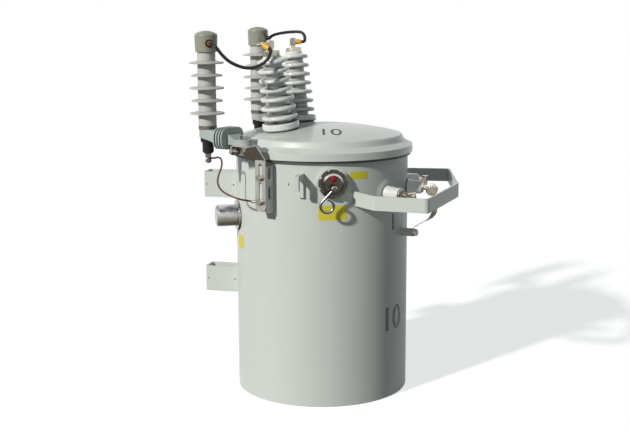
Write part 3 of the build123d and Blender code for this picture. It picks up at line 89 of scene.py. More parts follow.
def make_camera():
    data = bpy.data.cameras.new("camera")
    data.lens = CAMERA_LENS
    data.sensor_width = CAMERA_SENSOR
    data.clip_end = CAMERA_REACH
    camera = bpy.data.objects.new("camera", data)
    bpy.context.collection.objects.link(camera)
    camera.location = CAMERA_PLACE
    look = CAMERA_LOOK.normalized()
    right = look.cross(UPRIGHT).normalized()
    up = right.cross(look)
    turned_right = right * math.cos(CAMERA_ROLL) - up * math.sin(CAMERA_ROLL)
    turned_up = right * math.sin(CAMERA_ROLL) + up * math.cos(CAMERA_ROLL)
    axes = Matrix((turned_right, turned_up, -look)).transposed()
    camera.rotation_mode = "QUATERNION"
    camera.rotation_quaternion = axes.to_quaternion()
    bpy.context.scene.camera = camera


def make_lights():
    data = bpy.data.lights.new("sun", "SUN")
    data.energy = SUN_STRENGTH
    data.angle = SUN_SOFTNESS
    data.color = SUN_COLOUR
    sun = bpy.data.objects.new("sun", data)
    bpy.context.collection.objects.link(sun)
    sun.rotation_mode = "QUATERNION"
    sun.rotation_quaternion = SUN_TRAVEL.to_track_quat("-Z", "Y")


class Nodes:
    """Adds and links the nodes of one shader."""

    def __init__(self, tree):
        self.tree = tree
        tree.nodes.clear()

    def feed(self, socket, value):
        """Link another node's output to the socket, or set the socket to a plain value."""
        if isinstance(value, bpy.types.NodeSocket):
            self.tree.links.new(value, socket)
        else:
            socket.default_value = value

    def add(self, kind, *values, **named):
        """New node: named values go to its settings or sockets, the others to its first sockets."""
        node = self.tree.nodes.new("ShaderNode" + kind)
        for name, value in named.items():
            if hasattr(node, name):
                setattr(node, name, value)
            else:
                self.feed(node.inputs[name.replace("_", " ")], value)
        for socket, value in zip(node.inputs, values):
            self.feed(socket, value)
        return node

    def remap(self, value, low, high, start=0.0, end=1.0):
        """Output that goes from low to high while the value goes from start to end."""
        node = self.add("MapRange", Value=value, From_Min=start, From_Max=end,
                        To_Min=low, To_Max=high)
        return node.outputs["Result"]

    def blend(self, share, first, second, how="MIX"):
        """Two colours brought together."""
        node = self.add("Mix", share, data_type="RGBA", blend_type=how)
        self.feed(node.inputs[MIX_FIRST], first)
        self.feed(node.inputs[MIX_SECOND], second)
        return node.outputs[MIX_RESULT]

    def seen_directly(self):
        """1 for rays from the camera and through or off shiny things, 0 for light on things."""
        path = self.add("LightPath")
        share = path.outputs["Is Camera Ray"]
        for other in ("Is Glossy Ray", "Is Transmission Ray"):
            share = self.add("Math", share, path.outputs[other], operation="MAXIMUM").outputs[0]
        return share


def make_world():
    world = bpy.data.worlds.new("world")
    bpy.context.scene.world = world
    world.use_nodes = True
    net = Nodes(world.node_tree)
    light = net.add("Background", Color=SKY_COLOUR, Strength=SKY_STRENGTH)
    white = net.add("Background", Color=WHITE, Strength=1.0)
    shown = net.add("MixShader", net.seen_directly(), light.outputs[0], white.outputs[0])
    net.add("OutputWorld", shown.outputs[0])


def make_floor():
    """Pale floor: it keeps the object's soft shadow, and is white to the camera elsewhere."""
    half = FLOOR_SIZE / 2
    corners = [(-half, -half, 0), (half, -half, 0), (half, half, 0), (-half, half, 0)]
    mesh = bpy.data.meshes.new("floor")
    mesh.from_pydata(corners, [], [(0, 1, 2, 3)])
    floor = bpy.data.objects.new("floor", mesh)
    bpy.context.collection.objects.link(floor)
    floor.location.z = -FLOOR_DROP
    material = bpy.data.materials.new("floor_white")
    material.use_nodes = True
    net = Nodes(material.node_tree)
    bounce = net.add("BsdfDiffuse", Color=(FLOOR_BOUNCE, FLOOR_BOUNCE, FLOOR_BOUNCE, 1))
    shade = net.add("BsdfDiffuse", Color=(FLOOR_SHADE, FLOOR_SHADE, FLOOR_SHADE, 1))
    glow = net.add("Emission", Color=WHITE, Strength=FLOOR_GLOW)
    shown = net.add("AddShader", shade.outputs[0], glow.outputs[0])
    mix = net.add("MixShader", net.seen_directly(), bounce.outputs[0], shown.outputs[0])
    net.add("OutputMaterial", mix.outputs[0])
    mesh.materials.append(material)


# ---------------------------------------------------------------- materials
FINISHES = {}
COAT_ROUGHNESS = 0.08
GRAIN_DEPTH = 0.0004
SHADE_REACH = 0.028            # how near a facing surface has to be for the painted shade to darken the colour
SHADE_RANGE = (0.25, 0.75)     # openness at which the painted shade is at its full, and at which it is gone
DUST_FROM = 0.2                # how far up a surface has to face before dust stays on it
DUST_SCALE = 70.0
METAL_SPREAD = 0.12            # how far blotches push a metal's tone up or down
METAL_BLOTCHES = 90.0
METAL_GRAIN_SCALE = 600.0
METAL_ROUND_EDGES = 0.0006


def new_finish(name, streak, **values):
    """Finish with its shader, the object's coordinates, and the same stretched by streak."""
    made = bpy.data.materials.new(name + "_finish")
    made.use_nodes = True
    FINISHES[name] = made
    net = Nodes(made.node_tree)
    shader = net.add("BsdfPrincipled", **values)
    net.add("OutputMaterial", shader.outputs[0])
    place = net.add("TexCoord").outputs["Object"]
    stretched = net.add("Mapping", Vector=place, Scale=streak).outputs[0]
    return net, shader, place, stretched


def up_share(net):
    """How far the surface faces up, from -1 to 1."""
    facing = net.add("NewGeometry")
    return net.add("SeparateXYZ", facing.outputs["Normal"]).outputs["Z"]


def set_tones(ramp, tones):
    """Fill a colour ramp from (position, colour) pairs."""
    steps = ramp.color_ramp.elements
    while len(steps) < len(tones):
        steps.new(1.0)
    for step, (position, colour) in zip(steps, tones):
        step.position = position
        step.color = (*colour, 1)


def add_relief(net, shader, place, grain, grain_scale, round_edges):
    """Fine grain, over edges that catch the light as rounded ones do."""
    fine = net.add("TexNoise", Vector=place, Scale=grain_scale, Detail=3.0)
    bump = net.add("Bump", Height=fine.outputs["Fac"], Strength=grain, Distance=GRAIN_DEPTH)
    if round_edges:
        edge = net.add("Bevel", samples=4, Radius=round_edges)
        net.feed(bump.inputs["Normal"], edge.outputs[0])
    net.feed(shader.inputs["Normal"], bump.outputs[0])


def coated(name, colour, second, mottle=18.0, grain=0.0, grain_scale=900.0, roughness=0.4,
           rough_spread=0.1, metallic=0.0, coat=0.0, specular=0.5, streak=(1.0, 1.0, 1.0),
           painted_shade=0.0, dust=0.0, dust_colour=(0.32, 0.29, 0.24), round_edges=0.0):
    """Paint, glaze or moulding: two tones mixed by soft noise, painted shade in hollows, dust on top.
    """
    net, shader, place, stretched = new_finish(
        name, streak, Metallic=metallic, Coat_Weight=coat, Coat_Roughness=COAT_ROUGHNESS,
        Specular_IOR_Level=specular)
    noise = net.add("TexNoise", Vector=stretched, Scale=mottle, Detail=5.0, Roughness=0.6)
    tones = net.add("ValToRGB", noise.outputs["Fac"])
    set_tones(tones, [(0.3, second), (0.7, colour)])
    base = tones.outputs["Color"]
    # painted shade: ambient occlusion darkens the colour in hollows and under sheds, where shadow
    # falls
    if painted_shade:
        hollow = net.add("AmbientOcclusion", samples=8, Distance=SHADE_REACH)
        unshaded = net.remap(hollow.outputs["AO"], 1 - painted_shade, 1.0, *SHADE_RANGE)
        base = net.blend(1.0, base, unshaded, "MULTIPLY")
    if dust:
        specks = net.add("TexNoise", Vector=place, Scale=DUST_SCALE, Detail=6.0)
        upward = net.remap(up_share(net), 0.0, dust, DUST_FROM)
        amount = net.add("Math", upward, specks.outputs["Fac"], operation="MULTIPLY")
        base = net.blend(amount.outputs[0], base, (*dust_colour, 1))
    rough = net.remap(noise.outputs["Fac"], roughness - rough_spread, roughness + rough_spread)
    net.feed(shader.inputs["Base Color"], base)
    net.feed(shader.inputs["Roughness"], rough)
    if grain or round_edges:
        add_relief(net, shader, stretched, grain, grain_scale, round_edges)


def metal(name, tones, roughness, grain=0.25, streak=(1.0, 1.0, 1.0)):
    """Bright metal with painted reflections: its tone goes with how far it faces up, as if sky and
    ground were round it.
    """
    net, shader, _, stretched = new_finish(name, streak, Metallic=1.0)
    blotches = net.add("TexNoise", Vector=stretched, Scale=METAL_BLOTCHES, Detail=6.0,
                       Roughness=0.65).outputs["Fac"]
    shift = net.remap(blotches, -METAL_SPREAD, METAL_SPREAD)
    # painted reflection: the base colour follows how far the surface faces up, with blotches for
    # random tone
    lean = net.add("Math", up_share(net), 0.5, 0.5, operation="MULTIPLY_ADD")
    total = net.add("Math", lean.outputs[0], shift, operation="ADD")
    ramp = net.add("ValToRGB", total.outputs[0])
    set_tones(ramp, [((1 + upwards) / 2, colour) for upwards, colour in tones])
    net.feed(shader.inputs["Base Color"], ramp.outputs["Color"])
    net.feed(shader.inputs["Roughness"], net.remap(blotches, 0.6 * roughness, 1.4 * roughness))
    add_relief(net, shader, stretched, grain, METAL_GRAIN_SCALE, METAL_ROUND_EDGES)


# each metal's painted reflection tones, from facing down (-1) to facing up (1)
STEEL_TONES = [(-1.0, (0.070, 0.062, 0.050)), (-0.25, (0.085, 0.074, 0.056)),
               (-0.1, (0.40, 0.385, 0.35)), (0.3, (0.52, 0.51, 0.48)),
               (0.55, (0.20, 0.20, 0.21)), (1.0, (0.50, 0.50, 0.48))]
TAP_TONES = [(-1.0, (0.085, 0.070, 0.055)), (-0.5, (0.115, 0.100, 0.080)),
             (-0.1, (0.30, 0.28, 0.25)), (0.3, (0.62, 0.61, 0.59)),
             (0.62, (0.24, 0.25, 0.28)), (0.95, (0.62, 0.62, 0.62))]
DARK_TONES = [(-1.0, (0.018, 0.016, 0.013)), (-0.2, (0.034, 0.031, 0.025)),
              (0.1, (0.085, 0.080, 0.068)), (0.5, (0.62, 0.60, 0.56)), (1.0, (0.45, 0.44, 0.42))]
BRONZE_TONES = [(-1.0, (0.060, 0.048, 0.032)), (-0.3, (0.140, 0.115, 0.080)),
                (0.05, (0.46, 0.43, 0.36)), (0.4, (0.74, 0.71, 0.64)), (1.0, (0.42, 0.39, 0.33))]
HANDLE_TONES = [(-1.0, (0.025, 0.022, 0.017)), (-0.15, (0.050, 0.045, 0.038)),
                (0.10, (0.120, 0.112, 0.100)), (0.40, (0.420, 0.410, 0.390)),
                (0.75, (0.250, 0.245, 0.235)), (1.0, (0.360, 0.355, 0.340))]
RING_TONES = [(-1.0, (0.045, 0.040, 0.032)), (-0.1, (0.120, 0.108, 0.090)),
              (0.3, (0.300, 0.285, 0.250)), (1.0, (0.270, 0.258, 0.230))]
BOLT_TONES = [(-1.0, (0.045, 0.036, 0.028)), (-0.3, (0.110, 0.090, 0.070)),
              (0.05, (0.34, 0.31, 0.27)), (0.35, (0.85, 0.83, 0.78)), (1.0, (0.50, 0.48, 0.44))]
GREY_PAINT = ((0.640, 0.672, 0.628), (0.610, 0.645, 0.603))

coated("tank_paint", *GREY_PAINT, mottle=7, grain=0.10, grain_scale=420, roughness=0.42,
       rough_spread=0.06, specular=0.35, streak=(1, 1, 0.25), dust=0.12, round_edges=0.0012)
coated("cover_paint", *GREY_PAINT, mottle=7, grain=0.08, grain_scale=420, roughness=0.34,
       rough_spread=0.05, coat=0.3, streak=(1, 1, 0.25), dust=0.08, round_edges=0.0012)
coated("gasket_rubber", (0.090, 0.090, 0.075), (0.055, 0.056, 0.047), grain=0.4, roughness=0.7,
       dust=0.3)
coated("porcelain", (0.760, 0.775, 0.740), (0.720, 0.738, 0.705), mottle=26, grain=0.05,
       grain_scale=240, roughness=0.16, rough_spread=0.05, coat=0.6, painted_shade=0.75, dust=0.15,
       dust_colour=(0.50, 0.50, 0.46))
coated("lv_porcelain", (0.80, 0.80, 0.77), (0.76, 0.76, 0.73), mottle=40, grain=0.04,
       roughness=0.14, coat=0.6)
coated("polymer", (0.590, 0.585, 0.555), (0.550, 0.546, 0.520), mottle=30, grain=0.2,
       roughness=0.42, painted_shade=0.65, dust=0.2)
coated("cap_polymer", (0.318, 0.314, 0.246), (0.288, 0.285, 0.224), mottle=30, grain=0.35,
       grain_scale=700, roughness=0.42, dust=0.3, round_edges=0.001)
coated("arm_moulding", (0.450, 0.500, 0.475), (0.410, 0.460, 0.436), mottle=22, grain=0.25,
       roughness=0.45, dust=0.2, round_edges=0.001)
coated("black_plastic", (0.004, 0.0038, 0.0035), (0.007, 0.0065, 0.006), grain=0.3,
       roughness=0.45, specular=0.25, dust=0.10)
coated("black_rubber", (0.004, 0.004, 0.004), (0.007, 0.007, 0.0065), grain=0.25,
       roughness=0.36, specular=0.3, dust=0.04)
coated("lug_insulation", (0.88, 0.47, 0.030), (0.80, 0.40, 0.022), mottle=90, grain=0.3,
       roughness=0.38, round_edges=0.0006)
coated("sleeve_orange", (0.60, 0.22, 0.03), (0.45, 0.15, 0.02), mottle=90, grain=0.3,
       roughness=0.4, round_edges=0.0004)
coated("label_yellow", (0.700, 0.620, 0.040), (0.640, 0.565, 0.036), mottle=40, grain=0.08,
       roughness=0.45)
coated("mark_black", (0.020, 0.020, 0.020), (0.035, 0.035, 0.033), mottle=120, roughness=0.5)
coated("copper", (0.115, 0.048, 0.032), (0.035, 0.018, 0.014), mottle=90, grain=0.4,
       roughness=0.42, metallic=0.6)
coated("lamp_red", (0.270, 0.002, 0.012), (0.210, 0.002, 0.010), mottle=60, roughness=0.25,
       specular=0.25)
metal("stainless", STEEL_TONES, roughness=0.30, streak=(1, 1, 0.12))
metal("bronze", BRONZE_TONES, roughness=0.28, grain=0.4)
metal("bolt_steel", BOLT_TONES, roughness=0.24)
metal("tap_steel", TAP_TONES, roughness=0.20)
metal("breaker_metal", DARK_TONES, roughness=0.22)
metal("ring_steel", RING_TONES, roughness=0.3)
metal("handle_steel", HANDLE_TONES, roughness=0.3, grain=0.15)

# nodes that look otherwise than the rest of their slot
FINISH_OF = {"breaker_face": "breaker_metal", "breaker_collar": "breaker_metal",
             "breaker_handle": "handle_steel", "tap_cover": "tap_steel",
             "cap_sleeve_right": "black_rubber", "ground_stud_left": "ring_steel",
             "ground_stud_right": "ring_steel", "arrester_ring_left": "ring_steel",
             "arrester_ring_right": "ring_steel"}


def dress_nodes():
    for name, slot_name in SLOT_OF.items():
        node = NODES[name]
        finish = FINISHES[FINISH_OF.get(name, slot_name)]
        if not node.data.materials:
            node.data.materials.append(finish)
        for slot in node.material_slots:
            slot.material = finish


# ---------------------------------------------------------------- leads, on the part's own routes
JUMPER_DIAMETER = 0.0092   # its insulation is thicker than the solid tube that it replaces
GROUND_WIRE_DIAMETER = 0.005
JUMPER_LEFT = [(-0.2730, 0.2409, 1.0110), (-0.2810, 0.2284, 1.0103), (-0.2850, 0.2181, 0.9999),
               (-0.2810, 0.2052, 0.9813), (-0.2710, 0.1894, 0.9636), (-0.2570, 0.1696, 0.9513),
               (-0.2400, 0.1491, 0.9441), (-0.2190, 0.1301, 0.9456), (-0.1920, 0.1174, 0.9546),
               (-0.1860, 0.1150, 0.9570), (-0.1720, 0.1124, 0.9626), (-0.1620, 0.1101, 0.9690),
               (-0.1550, 0.1088, 0.9760), (-0.1500, 0.1080, 0.9825), (-0.1443, 0.1086, 0.9911),
               (-0.1427, 0.1138, 0.9936)]
JUMPER_RIGHT = [(0.2394, 0.2243, 1.0110), (0.2350, 0.2166, 1.0190), (0.2220, 0.1870, 1.0256),
                (0.2000, 0.1520, 1.0302), (0.1750, 0.1199, 1.0318), (0.1550, 0.1004, 1.0309),
                (0.1380, 0.0876, 1.0243), (0.1300, 0.0830, 1.0130), (0.1253, 0.0833, 1.0034),
                (0.1237, 0.0921, 1.0034)]
GROUND_LEFT = [(-0.2337, 0.268, 0.695), (-0.2363, 0.249, 0.695), (-0.241, 0.235, 0.700),
               (-0.246, 0.224, 0.695), (-0.250, 0.221, 0.679), (-0.254, 0.226, 0.662),
               (-0.260, 0.231, 0.645), (-0.266, 0.230, 0.629), (-0.271, 0.220, 0.613),
               (-0.275, 0.201, 0.602), (-0.280, 0.178, 0.595), (-0.283, 0.158, 0.590),
               (-0.2712, 0.1434, 0.5859), (-0.2704, 0.1315, 0.5844)]
GROUND_RIGHT = [(-x, y, z) for x, y, z in GROUND_LEFT]


def lead(name, points, diameter, finish, stands_for):
    """One smooth free lead on a NURBS line."""
    data = bpy.data.curves.new(name, "CURVE")
    data.dimensions = "3D"
    line = data.splines.new("NURBS")
    line.points.add(len(points) - 1)
    for point, place in zip(line.points, points):
        point.co = (*place, 1)
    line.order_u = 3
    line.use_endpoint_u = True
    line.resolution_u = 16
    data.bevel_depth = diameter / 2
    data.bevel_resolution = 6
    data.use_fill_caps = True
    obj = bpy.data.objects.new(name, data)
    bpy.context.collection.objects.link(obj)
    data.materials.append(FINISHES[finish])
    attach(obj, BODY)
    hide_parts(stands_for)
    return obj


def make_leads():
    for side, points, length in (("left", JUMPER_LEFT, 0.259), ("right", JUMPER_RIGHT, 0.208)):
        obj = lead(f"jumper_cable_{side}", points, JUMPER_DIAMETER, "black_rubber",
                   f"jumper_lead_{side}")
    for side, points in (("left", GROUND_LEFT), ("right", GROUND_RIGHT)):
        obj = lead(f"ground_wire_{side}", points, GROUND_WIRE_DIAMETER, "copper",
                   f"ground_lead_{side}")


# ---------------------------------------------------------------- solids of the scene's own
SHARP_EDGE = math.radians(35)
TANK_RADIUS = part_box("tank_bottom")[1].x      # inside the wall
WALL = 0.003


def on_wall(bearing, z, lift):
    """Point by the tank's wall, from its bearing in degrees, its height and its distance."""
    angle = math.radians(bearing)
    radius = TANK_RADIUS + WALL + lift
    return Vector((radius * math.cos(angle), radius * math.sin(angle), z))


def middle_of(node_name):
    low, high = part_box(node_name)
    return (Vector(low) + Vector(high)) / 2


def put(name, mesh, finish):
    obj = bpy.data.objects.new(name, mesh)
    bpy.context.collection.objects.link(obj)
    mesh.materials.append(FINISHES[finish])
    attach(obj, BODY)
    return obj


def rod(start, end, radius):
    """Profile of a plain rod."""
    return [(start, radius), (end, radius)]


def shifted(profile, start):
    return [(start + along, radius) for along, radius in profile]


class Shape:
    """Closed solids, gathered into one mesh."""

    def __init__(self):
        self.build = bmesh.new()

    def skin(self, rings, looped=False):
        """Faces from ring to ring; the first and last are closed, or joined when looped."""
        rings = [[self.build.verts.new(point) for point in ring] for ring in rings]
        for first, second in zip(rings, rings[1:] + (rings[:1] if looped else [])):
            for index, corner in enumerate(first):
                after = (index + 1) % len(first)
                self.build.faces.new((corner, first[after], second[after], second[index]))
        if not looped:
            self.build.faces.new(rings[0])
            self.build.faces.new(rings[-1])

    def turned(self, place, way, profile, sides=48):
        """Solid of revolution; profile holds (distance along the axis, radius)."""
        way = way.normalized()
        side = way.cross(UPRIGHT) if abs(way.z) < 0.9 else Vector((1, 0, 0))
        side.normalize()
        up = side.cross(way)
        turns = [math.tau * (index + 0.5) / sides for index in range(sides)]
        spokes = [side * math.cos(turn) + up * math.sin(turn) for turn in turns]
        self.skin([[place + way * along + spoke * radius for spoke in spokes]
                   for along, radius in profile])

    def block(self, centre, along, across, up):
        """Box from its centre and three half edges."""
        corners = [self.build.verts.new(centre + along * a + across * b + up * c)
                   for a in (-1, 1) for b in (-1, 1) for c in (-1, 1)]
        for face in ((0, 1, 3, 2), (4, 6, 7, 5), (0, 4, 5, 1), (2, 3, 7, 6), (0, 2, 6, 4),
                     (1, 5, 7, 3)):
            self.build.faces.new([corners[index] for index in face])

    def mesh(self, name, smooth=False):
        """The finished mesh, flat, or smooth but for its sharp edges."""
        bmesh.ops.recalc_face_normals(self.build, faces=self.build.faces)
        if smooth:
            for face in self.build.faces:
                face.smooth = True
            for edge in self.build.edges:
                edge.smooth = edge.calc_face_angle(math.pi) < SHARP_EDGE
        mesh = bpy.data.meshes.new(name)
        self.build.to_mesh(mesh)
        self.build.free()
        return mesh

    def finish(self, name, finish, stands_for):
        """Put the solids in the place of a CAD node."""
        obj = put(name, self.mesh(name, smooth=True), finish)
        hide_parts(stands_for)


# ---------------------------------------------------------------- labels and marks
SKIN = 0.0003              # how far a label or a painted mark stands off what is under it
LABEL_COLUMNS = 28
LABEL_CORNER = 0.004
DIGIT_SHARE = 0.7          # a digit's height as a share of its font's size
STENCIL_BOLD = 0.0012
MARK_STEP = 0.008          # longest edge of a mark that is laid on the cover


def label(name, start, end, low, high, finish="label_yellow"):
    """Bare sticker, bent round the wall between two bearings, with its corners rounded."""
    width = math.radians(abs(end - start)) * TANK_RADIUS
    rings = []
    for index in range(LABEL_COLUMNS + 1):
        share = (1 - math.cos(math.pi * index / LABEL_COLUMNS)) / 2
        short = max(LABEL_CORNER - min(share, 1 - share) * width, 0)
        cut = LABEL_CORNER - math.sqrt(LABEL_CORNER ** 2 - short ** 2)
        bearing = start + (end - start) * share
        rings.append([on_wall(bearing, low + cut, SKIN), on_wall(bearing, high - cut, SKIN),
                      on_wall(bearing, high - cut, 0), on_wall(bearing, low + cut, 0)])
    sticker = Shape()
    sticker.skin(rings)
    put(name, sticker.mesh(name), finish)


def flat_text(name, text, height, bold):
    """Thin mesh of a short text, centred and lying flat."""
    data = bpy.data.curves.new(name, "FONT")
    data.body = text
    data.size = height / DIGIT_SHARE
    data.align_x = "CENTER"
    data.align_y = "CENTER"
    data.extrude = SKIN / 2
    data.offset = bold
    flat = bpy.data.objects.new(name + "_flat", data)
    bpy.context.collection.objects.link(flat)
    bpy.context.view_layer.update()
    graph = bpy.context.evaluated_depsgraph_get()
    mesh = bpy.data.meshes.new_from_object(flat.evaluated_get(graph))
    bpy.data.objects.remove(flat)
    bpy.data.curves.remove(data)
    mesh.name = name
    mesh.materials.clear()
    return mesh


def wall_number(name, text, bearing, z, height):
    """Stencilled number, bent to the wall's curve."""
    mesh = flat_text(name, text, height, STENCIL_BOLD)
    for vertex in mesh.vertices:
        turn = math.degrees(vertex.co.x / TANK_RADIUS)
        vertex.co = on_wall(bearing + turn, z + vertex.co.y, vertex.co.z + SKIN / 2)
    put(name, mesh, "mark_black")


def lay_on_cover(mesh):
    """Cut a flat mark into short pieces, and drop each of its points onto the cover below."""
    cut = bmesh.new()
    cut.from_mesh(mesh)
    while True:
        bmesh.ops.triangulate(cut, faces=cut.faces)
        long_edges = [edge for edge in cut.edges if edge.calc_length() > MARK_STEP]
        if not long_edges:
            break
        bmesh.ops.subdivide_edges(cut, edges=long_edges, cuts=1)
    cut.to_mesh(mesh)
    cut.free()
    cover = NODES["tank_cover"]
    back = cover.matrix_world.inverted()
    down = (back.to_3x3() @ -UPRIGHT).normalized()
    for vertex in mesh.vertices:
        start = back @ Vector((vertex.co.x, vertex.co.y, CAD_BOX[1][2]))
        hit, place = cover.ray_cast(start, down)[:2]
        if hit:
            vertex.co = (cover.matrix_world @ place) + UPRIGHT * (vertex.co.z + SKIN)


def cover_number(name, text, centre, turn, height, narrow):
    """Stencilled number that lies on the cover's dome."""
    mesh = flat_text(name, text, height, 0.0)
    spin = Matrix.Rotation(math.radians(turn), 3, "Z")
    for vertex in mesh.vertices:
        vertex.co.x *= narrow
        vertex.co = spin @ vertex.co + Vector((*centre, 0))
    lay_on_cover(mesh)
    put(name, mesh, "mark_black")


def make_marks():
    cover_number("mark_cover", "10", centre=(-0.130, -0.056), turn=-75, height=0.066, narrow=0.75)
    label("label_small", start=212, end=224, low=0.645, high=0.666)
    label("label_large", start=191.7, end=209.9, low=0.534, high=0.575)
    label("label_third", start=119.5, end=130.5, low=0.424, high=0.464)
    # painted shade: a small black patch stands for the shade in a dimple of the wall
    label("wall_dimple_shade", start=172.4, end=173.0, low=0.626, high=0.637, finish="mark_black")
    wall_number("mark_upper", "1", bearing=247.2, z=0.508, height=0.044)
    wall_number("mark_lower", "10", bearing=247.2, z=0.228, height=0.068)


# ---------------------------------------------------------------- low voltage side
# Finer than the solids it replaces. Profiles are (distance along the axis, radius), and run
# from the wall unless said otherwise.
LV_RIM = {1: 0.0510, 2: 0.0465, 3: 0.0450}    # from the wall to the porcelain's end
LV_TURN = {1: -1.7, 2: 0.0, 3: 0.0}           # degrees that a bushing stands aside from its solid
DOME_RADIUS = 0.042
DOME_HOLE = 0.018
DOME_RISE = 0.0035
DOME_SINK = 0.0002         # how far the dome's edge lies under the wall's face
DOME_RINGS = 9
DOME_SIDES = 64
LV_SEAL = rod(-0.002, 0.0045, 0.0235)
LV_FOOT = [(0.003, 0.0215), (0.0065, 0.0220), (0.009, 0.0205)]
LV_MOUTH = [(-0.003, 0.0188), (-0.001, 0.0182), (0, 0.0170), (0, 0.0154), (-0.0012, 0.0148),
            (-0.009, 0.0147)]                 # from the rim
LV_COLLAR = [(-0.0095, 0.0145), (0.003, 0.0145), (0.004, 0.0135)]      # from the rim
CLAMP_AT = 0.088
CLAMP_HALF = (0.0085, 0.0115, 0.008)          # outwards, across, up
CLAMP_STUD_RADIUS = 0.0075
CLAMP_STUD_END = [(0.012, CLAMP_STUD_RADIUS), (0.015, 0.005)]          # from the clamp
CLAMP_NUT = rod(0.0055, 0.0155, 0.0125)       # from the rim
CLAMP_BOLT = rod(-0.016, 0.016, 0.0045)       # from the clamp, crosswise
CLAMP_BOLT_LIFT = 0.006
EYE_AT = 0.0745
EYE_DROP = 0.006
EYE_NECK_RADIUS = 0.0055
EYE_NECK_SINK = 0.002      # how deep the neck starts in the porcelain's mouth
EYE_NECK_SHORT = 0.010     # how far from the eye's centre the neck ends
EYE_PLATES = [(-0.0075, 0.0150), (-0.0062, 0.0170), (-0.0015, 0.0170), (-0.0008, 0.0160),
              (0.0008, 0.0160), (0.0015, 0.0170), (0.0062, 0.0170), (0.0075, 0.0150)]
EYE_BOLT = rod(-0.0105, 0.0105, 0.0050)
EYE_RIBS = (-0.010, -0.0035, 0.0035, 0.010)   # places of the ribs on the eye's two faces
EYE_RIB_HALF = (0.0016, 0.0088)               # outwards, across
EYE_RIB_CIRCLE = 0.015     # the ribs end on this circle
BOLT_AT = 0.069
BOLT_STUD_RADIUS = 0.0065
BOLT_SHANK = [(-0.017, 0.0060), (-0.016, 0.0070), (0.008, 0.0070)]     # upright, from its middle
BOLT_HEAD = [(0.008, 0.0100), (0.0105, 0.0100), (0.0112, 0.0090)]
BOLT_JAW_BACK = 0.008
BOLT_JAW_HALF = (0.004, 0.010, 0.006)         # outwards, across, up
GROUND_RISE = 0.007        # how far the real boss stands above its solid
GROUND_BOSS = [(-0.0025, 0.0130), (0.0015, 0.0130), (0.0035, 0.0116), (0.0315, 0.0116),
               (0.0330, 0.0105)]
GROUND_WASHER = rod(0.0345, 0.0362, 0.0108)
GROUND_NUT = rod(0.0362, 0.0435, 0.0098)
GROUND_SCREW = rod(0.0435, 0.0460, 0.0048)
STRAP_HALF_WIDTH = 0.0075
STRAP_THICKNESS = 0.0018
STRAP_SEAT = 0.0340        # from the wall to the strap's end under the washer
STRAP_END_DROP = 0.009
STRAP_ROUTE = [(-0.01, -0.334, 0.5481), (-0.01, -0.335, 0.5377), (-0.011, -0.3316, 0.5226),
               (-0.017, -0.3189, 0.5083), (-0.024, -0.3023, 0.4992), (-0.03, -0.2895, 0.4919),
               (-0.0355, -0.28, 0.4835)]
STRAP_TWIST = (90, 84, 55, 18, 4, 0, 0, 0)    # degrees, at the route's points and at its end
STRAP_STEPS = 8


def lv_axis(number):
    """Where a bushing leaves the wall, and its way out."""
    middle = middle_of(f"lv_bushing_{number}")
    bearing = math.atan2(middle.y, middle.x) + math.radians(LV_TURN[number])
    out = Vector((math.cos(bearing), math.sin(bearing), 0))
    return out * (TANK_RADIUS + WALL) + UPRIGHT * middle.z, out


def make_domes():
    """Shallow domes pressed out of the wall, which follow its curve."""
    section = []
    for index in range(DOME_RINGS + 1):
        share = index / DOME_RINGS
        section.append((DOME_HOLE + (DOME_RADIUS - DOME_HOLE) * share,
                        DOME_RISE * (1 + math.cos(math.pi * share)) / 2 - DOME_SINK))
    section.append((DOME_HOLE, -WALL / 2))
    turns = [math.tau * index / DOME_SIDES for index in range(DOME_SIDES)]
    domes = Shape()
    for number in LV_RIM:
        place, out = lv_axis(number)
        bearing = math.atan2(out.y, out.x)
        domes.skin([[on_wall(math.degrees(bearing + radius * math.cos(turn) / TANK_RADIUS),
                             place.z + radius * math.sin(turn), rise) for turn in turns]
                    for radius, rise in section], looped=True)
    domes.finish("lv_domes", "tank_paint", "lv_bosses")


def make_bushings():
    seals = Shape()
    for number, rim in LV_RIM.items():
        place, out = lv_axis(number)
        seals.turned(place, out, LV_SEAL)
        body = Shape()
        body.turned(place, out, LV_FOOT + shifted(LV_MOUTH, rim))
        body.finish(f"lv_porcelain_{number}", "lv_porcelain", f"lv_bushing_{number}")
    seals.finish("lv_seals", "gasket_rubber", "lv_gaskets")


def add_clamp(shape, place, out, across, rim):
    """Stud with a nut, and a clamp on its end."""
    clamp = place + out * CLAMP_AT
    along, wide, tall = CLAMP_HALF
    shape.turned(place, out, [(rim, CLAMP_STUD_RADIUS)] + shifted(CLAMP_STUD_END, CLAMP_AT))
    shape.turned(place, out, shifted(CLAMP_NUT, rim), sides=6)
    shape.block(clamp, out * along, across * wide, UPRIGHT * tall)
    shape.turned(clamp + UPRIGHT * CLAMP_BOLT_LIFT, across, CLAMP_BOLT, sides=24)


def add_eye(shape, place, out, across, rim):
    """Lowered eye of two plates, with ribs on both faces and a bolt through it."""
    eye = place + out * EYE_AT - UPRIGHT * EYE_DROP
    neck = place + out * (rim - EYE_NECK_SINK)
    neck_end = (eye - neck).length - EYE_NECK_SHORT
    along, wide = EYE_RIB_HALF
    shape.turned(neck, eye - neck, rod(0, neck_end, EYE_NECK_RADIUS), sides=24)
    shape.turned(eye, across, EYE_PLATES)
    shape.turned(eye, across, EYE_BOLT, sides=6)
    for reach in EYE_RIBS:
        tall = math.sqrt(EYE_RIB_CIRCLE ** 2 - reach ** 2)
        shape.block(eye + out * reach, out * along, across * wide, UPRIGHT * tall)


